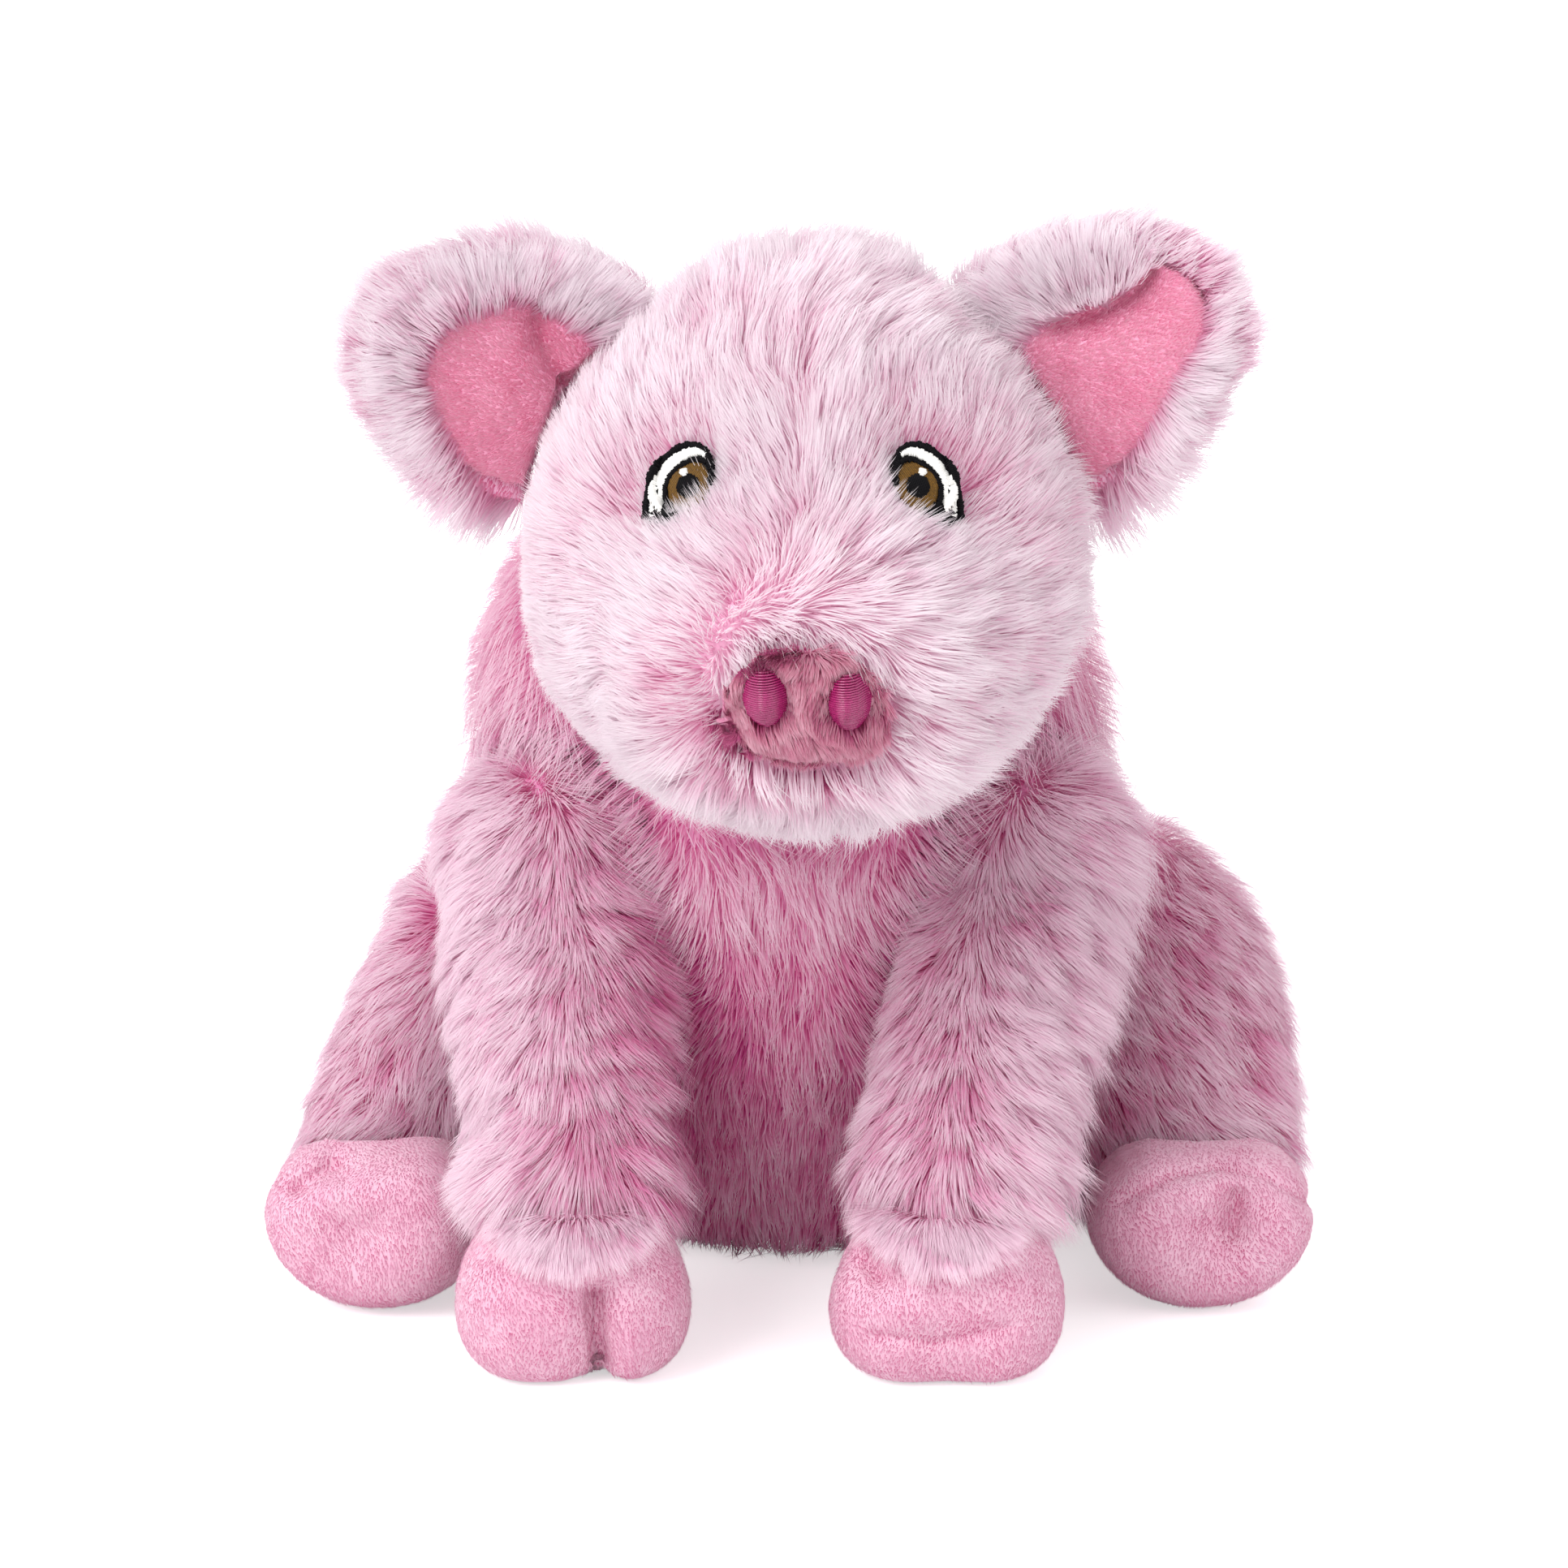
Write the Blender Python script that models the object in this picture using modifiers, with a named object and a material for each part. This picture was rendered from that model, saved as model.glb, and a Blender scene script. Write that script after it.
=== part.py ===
"""A plush pig that sits on its rump, about 0.21 m tall.

The origin is under the middle of the seat, +Z is up and the pig faces -Y, so its own left is +X. The
fur's surface is taken at mid pile, and the smooth pieces (hooves, snout, ear linings, stitched eyes) at
their true surface. The head nods in a hollow between the shoulders, each leg turns on a ball in a socket
of the torso, and the ears and the tail bend at their seams.
"""

import math
from collections import namedtuple

import bmesh
import bpy
from mathutils import Matrix, Vector
from mathutils.bvhtree import BVHTree

LEFT = 1
RIGHT = -1
SIDE_NAMES = {LEFT: "left", RIGHT: "right"}
X_AXIS = Vector((1, 0, 0))
Y_AXIS = Vector((0, 1, 0))
Z_AXIS = Vector((0, 0, 1))

# How finely each kind of form is divided
BODY_SIDES = 14
HAUNCH_SIDES = 12
LEG_SIDES = 10
EAR_SIDES = 8
SOFTNESS = 1
TAIL_STEPS = 11
SWING_STEPS = 3

# Gaps between pieces that touch, and how far a cutter runs past what it cuts
SEAM_GAP = 0.0004
THREAD_GAP = 0.0003
SOCKET_GAP = 0.0008
FLAT_DEPTH = 0.0005
OVERRUN = 0.030
WELD_DISTANCE = 0.00003

# Torso: its sections run from the seat up to the nape
TORSO_HEIGHT = 0.163
TORSO_HALF_WIDTH = 0.063
TORSO_HALF_DEPTH = 0.060
TORSO_LEAN = 0.043
torso_shares = (
    # height, lean, half width, half depth
    (0.00, 0.00, 0.00, 0.00),
    (0.00, 0.00, 0.62, 0.58),
    (0.07, 0.03, 0.88, 0.85),
    (0.24, 0.16, 1.00, 0.98),
    (0.46, 0.42, 1.00, 1.00),
    (0.66, 0.68, 1.02, 0.95),
    (0.83, 0.86, 0.94, 0.80),
    (0.95, 0.96, 0.66, 0.56),
    (1.00, 1.00, 0.00, 0.00),
)

# Seat: a round panel closes the pocket that holds the pouch of pellets
SEAT_RADIUS = 0.022
SEAT_THICKNESS = 0.003
POCKET_HEIGHT = 0.030
POUCH_HALF_HEIGHT = 0.012

# Head: its sections run from the back of the skull forward to the snout
HEAD_X = 0.0025
HEAD_BACK_Y = -0.036
HEAD_Z = 0.160
HEAD_LENGTH = 0.122
HEAD_HALF_WIDTH = 0.0515
HEAD_HALF_HEIGHT = 0.0525
MUZZLE_DROP = 0.017
HEAD_NARROW_SHARE = 0.07
head_shares = (
    # forward, drop, half width, half height
    (0.00, 0.00, 0.00, 0.00),
    (0.00, 0.00, 0.36, 0.36),
    (0.08, 0.00, 0.66, 0.66),
    (0.22, 0.01, 0.91, 0.91),
    (0.41, 0.03, 1.01, 1.01),
    (0.60, 0.14, 1.01, 1.00),
    (0.72, 0.40, 0.90, 0.86),
    (0.80, 0.80, 0.72, 0.62),
    (0.90, 1.00, 0.62, 0.48),
    (0.98, 1.00, 0.52, 0.40),
    (1.00, 1.00, 0.28, 0.22),
    (1.00, 1.00, 0.00, 0.00),
)

# Neck: the back of the head lies in a round hollow between the shoulders and nods about its middle
NECK_Y = -0.086
NECK_Z = 0.159
NECK_RADIUS = 0.0550

# Snout panel and nostrils
SNOUT_HALF_WIDTH = 0.0170
SNOUT_HALF_HEIGHT = 0.0132
SNOUT_HALF_DEPTH = 0.0090
SNOUT_RISE = 0.0050
NOSTRIL_SPACING = 0.0146
NOSTRIL_LIFT = 0.0012
NOSTRIL_HALF_WIDTH = 0.0038
NOSTRIL_HALF_HEIGHT = 0.0051
NOSTRIL_HALF_DEPTH = 0.0030
NOSTRIL_RISE = 0.0016

# Eyes: stitched fields that lie inside one another, each shifted towards the snout
EYE_SPACING = 0.0421
EYE_LIFT = 0.0180
EYE_ROOT = 0.0040
OUTLINE_HALF_WIDTH = 0.0067
OUTLINE_HALF_HEIGHT = 0.0080
OUTLINE_RISE = 0.0010
WHITE_HALF_WIDTH = 0.0055
WHITE_HALF_HEIGHT = 0.0067
WHITE_RISE = 0.0012
WHITE_INWARD = 0.0004
IRIS_HALF_WIDTH = 0.0040
IRIS_HALF_HEIGHT = 0.0051
IRIS_RISE = 0.0013
IRIS_INWARD = 0.0010
PUPIL_HALF_WIDTH = 0.0024
PUPIL_HALF_HEIGHT = 0.0032
PUPIL_RISE = 0.0015
PUPIL_INWARD = 0.0015
GLINT_HALF_WIDTH = 0.0008
GLINT_HALF_HEIGHT = 0.0010
GLINT_RISE = 0.0017
GLINT_INWARD = 0.0011
GLINT_LIFT = 0.0011

# Ears: a leaf of fur fabric with a smooth lining let into its front
EAR_X = 0.0400
EAR_Y = -0.084
EAR_Z = 0.184
EAR_LENGTH = 0.0450
EAR_HALF_WIDTH = 0.0255
EAR_HALF_THICKNESS = 0.0048
EAR_ROOT = 0.0140
EAR_UP_DEG = {LEFT: 30, RIGHT: 20}
EAR_FORWARD_DEG = 14
EAR_RANGE_DEG = 12
ear_shares = (
    # along, half width, half thickness
    (0.00, 0.00, 0.00),
    (0.00, 0.70, 0.90),
    (0.16, 0.92, 1.00),
    (0.42, 1.00, 1.00),
    (0.68, 0.90, 0.94),
    (0.88, 0.62, 0.82),
    (0.99, 0.30, 0.60),
    (1.00, 0.00, 0.00),
)
LINING_MARGIN = 0.0045
LINING_HALF_THICKNESS = 0.0026
LINING_RISE = 0.0012

# Front legs: they turn on a ball in the shoulder and stand on their hooves
SHOULDER_X = 0.0460
SHOULDER_Y = -0.061
SHOULDER_Z = 0.091
SHOULDER_RADIUS = 0.0212
FRONT_HEM_LEFT_X = 0.0300
FRONT_HEM_RIGHT_X = 0.0410
FRONT_HEM_Y = -0.101
FRONT_HEM_Z = 0.026
FRONT_LEG_HALF_WIDTH = 0.0192
FRONT_LEG_HALF_DEPTH = 0.0190
FRONT_FORWARD_DEG = 15
FRONT_BACK_DEG = 5
front_leg_shares = (
    # along, half width, half depth
    (0.00, 0.00, 0.00),
    (0.01, 0.80, 0.80),
    (0.18, 1.08, 1.08),
    (0.42, 1.05, 1.05),
    (0.70, 1.00, 1.00),
    (0.92, 0.98, 0.98),
    (1.04, 0.66, 0.66),
    (1.06, 0.00, 0.00),
)

# Hind legs: a folded haunch beside the hip, with the foot lying forward
HIP_X = 0.0480
HIP_Y = -0.018
HIP_Z = 0.050
HIP_RADIUS = 0.0190
HIP_TILT_DEG = 15
HIND_UP_DEG = 16
HIND_DOWN_DEG = 2
HAUNCH_LEFT_X = 0.0630
HAUNCH_RIGHT_X = 0.0500
HAUNCH_BACK_Y = 0.024
HAUNCH_Z = 0.051
HAUNCH_LEFT_HALF_WIDTH = 0.0355
HAUNCH_RIGHT_HALF_WIDTH = 0.0320
HAUNCH_HALF_HEIGHT = 0.0450
HIND_HEM_LEFT_X = 0.0815
HIND_HEM_RIGHT_X = 0.0845
HIND_HEM_Y = -0.060
HIND_HEM_Z = 0.018
hind_leg_shares = (
    # along, sideways and down, half width, half height
    (0.00, 0.00, 0.00, 0.00),
    (0.00, 0.00, 0.46, 0.52),
    (0.12, 0.00, 0.76, 0.80),
    (0.32, 0.04, 0.98, 0.98),
    (0.56, 0.20, 1.00, 0.92),
    (0.78, 0.62, 0.80, 0.66),
    (0.94, 0.94, 0.58, 0.42),
    (1.03, 1.00, 0.38, 0.28),
    (1.04, 1.00, 0.00, 0.00),
)

# Hooves: two toes drawn together by a stitch, pressed flat where they stand
HOOF_HALF_WIDTH = 0.0232
HOOF_HALF_DEPTH = 0.0190
HOOF_LENGTH = 0.0360
FRONT_HOOF_FORWARD = 0.0040
HIND_HOOF_FORWARD = 0.0200
HIND_HOOF_TURN_DEG = {LEFT: 2, RIGHT: 14}
hoof_shares = (
    # along from the hem to the sole, half width, half depth, cleft
    (0.00, 0.00, 0.00, 0.00),
    (0.00, 0.50, 0.52, 0.00),
    (0.20, 0.84, 0.84, 0.06),
    (0.48, 1.00, 1.00, 0.20),
    (0.76, 1.00, 1.00, 0.34),
    (0.96, 0.80, 0.82, 0.44),
    (1.00, 0.42, 0.44, 0.50),
    (0.90, 0.00, 0.00, 0.00),
)
CLEFT_SHARPNESS = 12

# Tail: one curl of smooth plush on a ball in the rump, far enough off the rump to wag past it
TAIL_Z = 0.047
TAIL_ROOT_RADIUS = 0.0066
TAIL_RADIUS = 0.0043
CURL_RADIUS = 0.0080
CURL_TURNS = 1.05
CURL_DRIFT = 0.0115
TAIL_CLEARANCE = 0.0030
TAIL_REACH = CURL_RADIUS + TAIL_RADIUS + TAIL_CLEARANCE

# The legs lie a little differently on each side
FRONT_HEM_X = {LEFT: FRONT_HEM_LEFT_X, RIGHT: -FRONT_HEM_RIGHT_X}
HAUNCH_X = {LEFT: HAUNCH_LEFT_X, RIGHT: -HAUNCH_RIGHT_X}
HAUNCH_HALF_WIDTH = {LEFT: HAUNCH_LEFT_HALF_WIDTH, RIGHT: HAUNCH_RIGHT_HALF_WIDTH}
HIND_HEM_X = {LEFT: HIND_HEM_LEFT_X, RIGHT: -HIND_HEM_RIGHT_X}

Station = namedtuple("Station", "centre half_across half_deep cleft")


def collection(name):
    made = bpy.data.collections.new(name)
    bpy.context.scene.collection.children.link(made)
    return made


def linear(channel):
    """One sRGB channel from 0 to 255, as a linear value from 0 to 1."""
    share = channel / 255
    return share / 12.92 if share <= 0.04045 else ((share + 0.055) / 1.055) ** 2.4


def material(name, red, green, blue, roughness, sheen=0):
    made = bpy.data.materials.new(name)
    made.use_nodes = True
    surface = made.node_tree.nodes["Principled BSDF"]
    surface.inputs["Base Color"].default_value = (linear(red), linear(green), linear(blue), 1)
    surface.inputs["Roughness"].default_value = roughness
    surface.inputs["Metallic"].default_value = 0
    surface.inputs["Sheen Weight"].default_value = sheen
    return made


def make_materials():
    return {
        "fur": material("pink_pile", 227, 179, 208, 0.9, 0.4),
        "plush": material("pale_short_plush", 233, 181, 208, 0.85, 0.3),
        "lining": material("rose_short_plush", 226, 123, 170, 0.85, 0.3),
        "seat": material("pink_woven_lining", 201, 104, 156, 0.9),
        "pouch": material("undyed_cotton", 226, 220, 206, 0.95),
        "magenta": material("magenta_satin_thread", 194, 38, 123, 0.45),
        "black": material("black_satin_thread", 21, 16, 26, 0.5),
        "white": material("white_satin_thread", 242, 240, 236, 0.5),
        "brown": material("brown_satin_thread", 112, 78, 30, 0.5),
    }


def as_object(name, mesh, group, coat=None):
    """An object of this mesh in the group, with the coat as its one material."""
    made = bpy.data.objects.new(name, mesh)
    if coat:
        mesh.materials.append(coat)
    group.objects.link(made)
    return made


def add_cutter(name, mesh):
    """A helper that other pieces are cut or joined with, left out of the object itself."""
    made = as_object(name, mesh, bpy.data.collections["cutters"])
    made.hide_render = True
    made.display_type = "WIRE"
    return made


def ring_point(station, angle, across, deep, narrow):
    """The point of a section at this angle, with the section narrower above and drawn in at its cleft."""
    wide = station.half_across * math.cos(angle) * (1 - narrow * math.sin(angle))
    front = max(0, math.sin(angle)) ** CLEFT_SHARPNESS
    high = station.half_deep * math.sin(angle) * (1 - station.cleft * front)
    return station.centre + across * wide + deep * high


def cage(name, stations, sides, across, narrow=0):
    """A closed cage with a ring at each station but the first and last, which are its end points."""
    along = stations[-2].centre - stations[1].centre
    deep = along.cross(across).normalized()
    rings = len(stations) - 1
    fuller = 3 / (2 + math.cos(math.tau / sides))
    shape = bmesh.new()
    bmesh.ops.create_uvsphere(shape, u_segments=sides, v_segments=rings, radius=1)
    for vertex in shape.verts:
        level = round(rings * math.acos(max(-1, min(1, -vertex.co.z))) / math.pi)
        angle = math.atan2(vertex.co.y, vertex.co.x)
        station = stations[level]
        if level in (0, rings):
            vertex.co = station.centre
            continue
        wide = station.half_across * fuller
        high = station.half_deep * fuller
        wider = station._replace(half_across=wide, half_deep=high)
        vertex.co = ring_point(wider, angle, across, deep, narrow)
    mesh = bpy.data.meshes.new(name)
    shape.to_mesh(mesh)
    shape.free()
    mesh.shade_smooth()
    return mesh


def subdivide(obj):
    softer = obj.modifiers.new("soften", "SUBSURF")
    softer.levels = SOFTNESS
    softer.render_levels = SOFTNESS


def soft_form(name, mesh, coat):
    made = as_object(name, mesh, bpy.data.collections["plush_pig"], coat)
    subdivide(made)
    return made


def swell(obj, gap):
    """Moves the object's surface out by the gap all round."""
    step = obj.modifiers.new("grow", "DISPLACE")
    step.strength = gap
    step.mid_level = 0


def boolean(obj, other, operation="DIFFERENCE"):
    step = obj.modifiers.new(f"{operation.lower()} {other.name}"[:60], "BOOLEAN")
    step.operation = operation
    step.solver = "EXACT"
    step.object = other


def grown(source, gap, name, placed=None):
    """A cutter of the source's uncut form, larger by the gap all round and moved by the placing matrix."""
    made = add_cutter(name, source.data)
    if any(step.type == "SUBSURF" for step in source.modifiers):
        subdivide(made)
    swell(made, gap)
    made.matrix_world = (placed or Matrix.Identity(4)) @ source.matrix_world
    return made


def turned(pivot, axis, degrees):
    """The matrix that turns things about the axis through the pivot."""
    there = Matrix.Translation(pivot)
    return there @ Matrix.Rotation(math.radians(degrees), 4, axis) @ there.inverted()


def sweep(first, last):
    """Angles from the first to the last at even steps."""
    return [first + (last - first) * index / (SWING_STEPS - 1) for index in range(SWING_STEPS)]


def cut_by_turning(obj, source, gap, pivot, axis, angles):
    """Cuts the object by the source's form at each angle, so that neither meets the other as it turns."""
    for number, degrees in enumerate(angles):
        name = f"{source.name}_for_{obj.name}_{number}"
        boolean(obj, grown(source, gap, name, turned(pivot, axis, degrees)))


def ball(name, centre, radius, pieces=20):
    shape = bmesh.new()
    bmesh.ops.create_uvsphere(shape, u_segments=pieces, v_segments=pieces // 2, radius=radius)
    mesh = bpy.data.meshes.new(name)
    shape.to_mesh(mesh)
    shape.free()
    mesh.shade_smooth()
    made = add_cutter(name, mesh)
    made.location = centre
    bpy.context.view_layer.update()
    return made


def world_mesh(obj):
    """(points, faces) of the object as its modifiers leave it, in world space."""
    bpy.context.view_layer.update()
    done = obj.evaluated_get(bpy.context.evaluated_depsgraph_get())
    mesh = done.to_mesh()
    points = [obj.matrix_world @ vertex.co for vertex in mesh.vertices]
    faces = [tuple(face.vertices) for face in mesh.polygons]
    done.to_mesh_clear()
    return points, faces


def surface_at(obj, start, direction):
    """The point and the outward normal where a ray from the start first meets the object."""
    points, faces = world_mesh(obj)
    point, normal, _, _ = BVHTree.FromPolygons(points, faces).ray_cast(start, direction)
    if point is None:
        raise ValueError(f"nothing of {obj.name} lies ahead of {start}")
    return point, normal


def upright_on(normal):
    """A turn that takes local Z onto the normal and keeps local Y as near to straight up as it can."""
    side = Z_AXIS.cross(normal).normalized()
    return Matrix((side, normal.cross(side), normal)).transposed().to_4x4()


def set_down(obj):
    """Lowers or lifts the object until its lowest point is the flattening's depth under the ground."""
    points, _ = world_mesh(obj)
    obj.location.z -= min(point.z for point in points) + FLAT_DEPTH
    bpy.context.view_layer.update()


def make_ground():
    """A block whose top is the ground, for pressing flat what stands there."""
    shape = bmesh.new()
    bmesh.ops.create_cube(shape, size=1)
    wide = 2 * (TORSO_HEIGHT + HEAD_LENGTH)
    shape.transform(Matrix.Diagonal((wide, wide, OVERRUN, 1)))
    mesh = bpy.data.meshes.new("ground")
    shape.to_mesh(mesh)
    shape.free()
    made = add_cutter("ground", mesh)
    made.location = (0, 0, -OVERRUN / 2)
    return made


def make_torso(coats):
    stations = []
    for up, lean, wide, deep in torso_shares:
        centre = Vector((0, -TORSO_LEAN * lean, TORSO_HEIGHT * up))
        stations.append(Station(centre, TORSO_HALF_WIDTH * wide, TORSO_HALF_DEPTH * deep, 0))
    made = soft_form("torso", cage("torso", stations, BODY_SIDES, X_AXIS), coats["fur"])
    set_down(made)
    return made


def make_head(coats):
    stations = []
    for forward, drop, wide, high in head_shares:
        centre = Vector((HEAD_X, HEAD_BACK_Y - HEAD_LENGTH * forward, HEAD_Z - MUZZLE_DROP * drop))
        stations.append(Station(centre, HEAD_HALF_WIDTH * wide, HEAD_HALF_HEIGHT * high, 0))
    mesh = cage("head", stations, BODY_SIDES, X_AXIS, HEAD_NARROW_SHARE)
    return soft_form("head", mesh, coats["fur"])


def hollow_neck(torso):
    """Hollows the torso between the shoulders, where the back of the head turns."""
    pivot = Vector((HEAD_X, NECK_Y, NECK_Z))
    boolean(torso, ball("neck_hollow", pivot, NECK_RADIUS + SOCKET_GAP, 32))
    return pivot


def placed_mesh(name, mesh, coat):
    """The mesh as a piece of the pig if it has a coat, and as a cutter if not."""
    if coat:
        return as_object(name, mesh, bpy.data.collections["plush_pig"], coat)
    return add_cutter(name, mesh)


def round_solid(name, radius, low, high, coat=None):
    """An upright cylinder on the origin, from low to high."""
    shape = bmesh.new()
    deep = high - low
    bmesh.ops.create_cone(shape, cap_ends=True, segments=32, radius1=radius, radius2=radius, depth=deep)
    mesh = bpy.data.meshes.new(name)
    shape.to_mesh(mesh)
    shape.free()
    made = placed_mesh(name, mesh, coat)
    made.location = (0, 0, (low + high) / 2)
    return made


def make_seat(torso, coats):
    """The pocket in the torso, the pouch of pellets inside it and the panel that closes it."""
    boolean(torso, round_solid("pocket", SEAT_RADIUS + SEAM_GAP, -OVERRUN, POCKET_HEIGHT))
    panel = round_solid("seat_panel", SEAT_RADIUS, 0, SEAT_THICKNESS, coats["seat"])
    across = SEAT_RADIUS - SEAM_GAP
    middle = Z_AXIS * (SEAT_THICKNESS + THREAD_GAP + POUCH_HALF_HEIGHT)
    pouch = dome("pellet_pouch", across, POUCH_HALF_HEIGHT, across, middle, -Y_AXIS, coats["pouch"], 20)
    return panel, pouch


def dome(name, half_width, half_height, half_depth, place, facing, coat, pieces=24):
    """A squashed ball whose short way faces along the normal, with its height kept upright."""
    shape = bmesh.new()
    bmesh.ops.create_uvsphere(shape, u_segments=pieces, v_segments=pieces // 2, radius=1)
    shape.transform(Matrix.Diagonal((half_width, half_height, half_depth, 1)))
    mesh = bpy.data.meshes.new(name)
    shape.to_mesh(mesh)
    shape.free()
    mesh.shade_smooth()
    made = as_object(name, mesh, bpy.data.collections["plush_pig"], coat)
    made.matrix_world = Matrix.Translation(place) @ upright_on(facing)
    bpy.context.view_layer.update()
    return made


def make_snout(head, coats):
    """The smooth panel at the end of the muzzle, and a stitched nostril on each side of its middle."""
    ahead = HEAD_BACK_Y - HEAD_LENGTH - OVERRUN
    start = Vector((HEAD_X, ahead, HEAD_Z - MUZZLE_DROP))
    place, _ = surface_at(head, start, Y_AXIS)
    middle = place + Y_AXIS * (SNOUT_HALF_DEPTH - SNOUT_RISE)
    panel = dome(
        "snout_panel", SNOUT_HALF_WIDTH, SNOUT_HALF_HEIGHT, SNOUT_HALF_DEPTH, middle, -Y_AXIS, coats["plush"]
    )
    nostrils = []
    for side in (LEFT, RIGHT):
        start = Vector((HEAD_X + side * NOSTRIL_SPACING / 2, ahead, middle.z + NOSTRIL_LIFT))
        place, facing = surface_at(panel, start, Y_AXIS)
        nostrils.append(
            dome(
                f"nostril_{SIDE_NAMES[side]}",
                NOSTRIL_HALF_WIDTH,
                NOSTRIL_HALF_HEIGHT,
                NOSTRIL_HALF_DEPTH,
                place - facing * (NOSTRIL_HALF_DEPTH - NOSTRIL_RISE),
                facing,
                coats["magenta"],
                16,
            )
        )
    for nostril in nostrils:
        boolean(nostril, grown(panel, THREAD_GAP, f"snout_for_{nostril.name}"))
    boolean(panel, grown(head, SEAM_GAP, "head_for_snout"))
    return [panel, *nostrils]


def oval_pad(name, half_width, half_height, rise, root, placed, coat=None):
    """An oval block from its root's depth up to its rise."""
    shape = bmesh.new()
    bmesh.ops.create_cone(shape, cap_ends=True, segments=20, radius1=1, radius2=1, depth=rise + root)
    shape.transform(Matrix.Diagonal((half_width, half_height, 1, 1)))
    shape.transform(Matrix.Translation((0, 0, (rise - root) / 2)))
    mesh = bpy.data.meshes.new(name)
    shape.to_mesh(mesh)
    shape.free()
    made = placed_mesh(name, mesh, coat)
    made.matrix_world = placed
    return made


def make_eye(side, head, coats):
    """Outline, white, iris, pupil and glint, each let into the one round it and cut off at the head."""
    start = Vector((HEAD_X + side * EYE_SPACING / 2, HEAD_BACK_Y - HEAD_LENGTH, HEAD_Z + EYE_LIFT))
    place, facing = surface_at(head, start, Y_AXIS)
    seat = Matrix.Translation(place) @ upright_on(facing)
    fields = (
        ("outline", OUTLINE_HALF_WIDTH, OUTLINE_HALF_HEIGHT, OUTLINE_RISE, 0, 0, "black"),
        ("white", WHITE_HALF_WIDTH, WHITE_HALF_HEIGHT, WHITE_RISE, WHITE_INWARD, 0, "white"),
        ("iris", IRIS_HALF_WIDTH, IRIS_HALF_HEIGHT, IRIS_RISE, IRIS_INWARD, 0, "brown"),
        ("pupil", PUPIL_HALF_WIDTH, PUPIL_HALF_HEIGHT, PUPIL_RISE, PUPIL_INWARD, 0, "black"),
        ("glint", GLINT_HALF_WIDTH, GLINT_HALF_HEIGHT, GLINT_RISE, GLINT_INWARD, GLINT_LIFT, "white"),
    )
    pads = []
    for kind, half_width, half_height, rise, inward, lift, coat in fields:
        placed = seat @ Matrix.Translation((-side * inward, lift, 0))
        name = f"eye_{kind}_{SIDE_NAMES[side]}"
        if pads:
            across = half_width + THREAD_GAP
            high = half_height + THREAD_GAP
            boolean(pads[-1], oval_pad(f"hole_for_{name}", across, high, OVERRUN, OVERRUN, placed))
        pads.append(oval_pad(name, half_width, half_height, rise, EYE_ROOT, placed, coats[coat]))
    for pad in pads:
        boolean(pad, grown(head, THREAD_GAP, f"head_for_{pad.name}"))
    return pads


def leaf(name, root, length, half_width, half_thickness, outward, facing, coat):
    """A leaf from its root outward, with its flat side facing forward."""
    stations = [
        Station(root + outward * length * along, half_thickness * thick, half_width * wide, 0)
        for along, wide, thick in ear_shares
    ]
    return soft_form(name, cage(name, stations, EAR_SIDES, facing), coat)


def make_ear(side, head, coats):
    """The furry leaf, its lining and the place about which they flop."""
    up = math.radians(EAR_UP_DEG[side])
    ahead = math.radians(EAR_FORWARD_DEG)
    outward = Vector((side * math.cos(up) * math.cos(ahead), -math.cos(up) * math.sin(ahead), math.sin(up)))
    base_line = (Z_AXIS - outward * outward.z).normalized()
    facing = outward.cross(base_line) * side
    if facing.y > 0:
        facing.negate()
    pivot = Vector((HEAD_X + side * EAR_X, EAR_Y, EAR_Z))
    root = pivot - outward * EAR_ROOT
    name = SIDE_NAMES[side]
    back = leaf(
        f"ear_back_{name}",
        root,
        EAR_LENGTH + EAR_ROOT,
        EAR_HALF_WIDTH,
        EAR_HALF_THICKNESS,
        outward,
        facing,
        coats["fur"],
    )
    forward = facing * (EAR_HALF_THICKNESS - LINING_HALF_THICKNESS + LINING_RISE)
    lining = leaf(
        f"ear_lining_{name}",
        root + forward + outward * LINING_MARGIN,
        EAR_LENGTH + EAR_ROOT - 2 * LINING_MARGIN,
        EAR_HALF_WIDTH - LINING_MARGIN,
        LINING_HALF_THICKNESS,
        outward,
        facing,
        coats["lining"],
    )
    boolean(back, grown(lining, SEAM_GAP, f"lining_for_{back.name}"))
    for piece in (back, lining):
        cut_by_turning(piece, head, SEAM_GAP, pivot, base_line, sweep(-EAR_RANGE_DEG, EAR_RANGE_DEG))
    return back, lining, pivot


def make_front_leg(side, torso, coats):
    """The leg from the shoulder's ball down to its hem, clear of the torso through its swing."""
    pivot = Vector((side * SHOULDER_X, SHOULDER_Y, SHOULDER_Z))
    hem = Vector((FRONT_HEM_X[side], FRONT_HEM_Y, FRONT_HEM_Z))
    stations = [
        Station(pivot.lerp(hem, along), FRONT_LEG_HALF_WIDTH * wide, FRONT_LEG_HALF_DEPTH * deep, 0)
        for along, wide, deep in front_leg_shares
    ]
    name = f"front_leg_{SIDE_NAMES[side]}"
    leg = soft_form(name, cage(name, stations, LEG_SIDES, across_of(hem - pivot)), coats["fur"])
    angles = sweep(-FRONT_BACK_DEG, FRONT_FORWARD_DEG)
    cut_by_turning(leg, torso, SEAM_GAP, pivot, X_AXIS, angles)
    boolean(leg, ball(f"ball_of_{name}", pivot, SHOULDER_RADIUS), "UNION")
    boolean(torso, ball(f"socket_of_{name}", pivot, SHOULDER_RADIUS + SOCKET_GAP))
    return leg, pivot


def across_of(along):
    """The sideways direction at right angles to a limb's length."""
    forward = along.normalized()
    return (X_AXIS - forward * forward.x).normalized()


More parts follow.
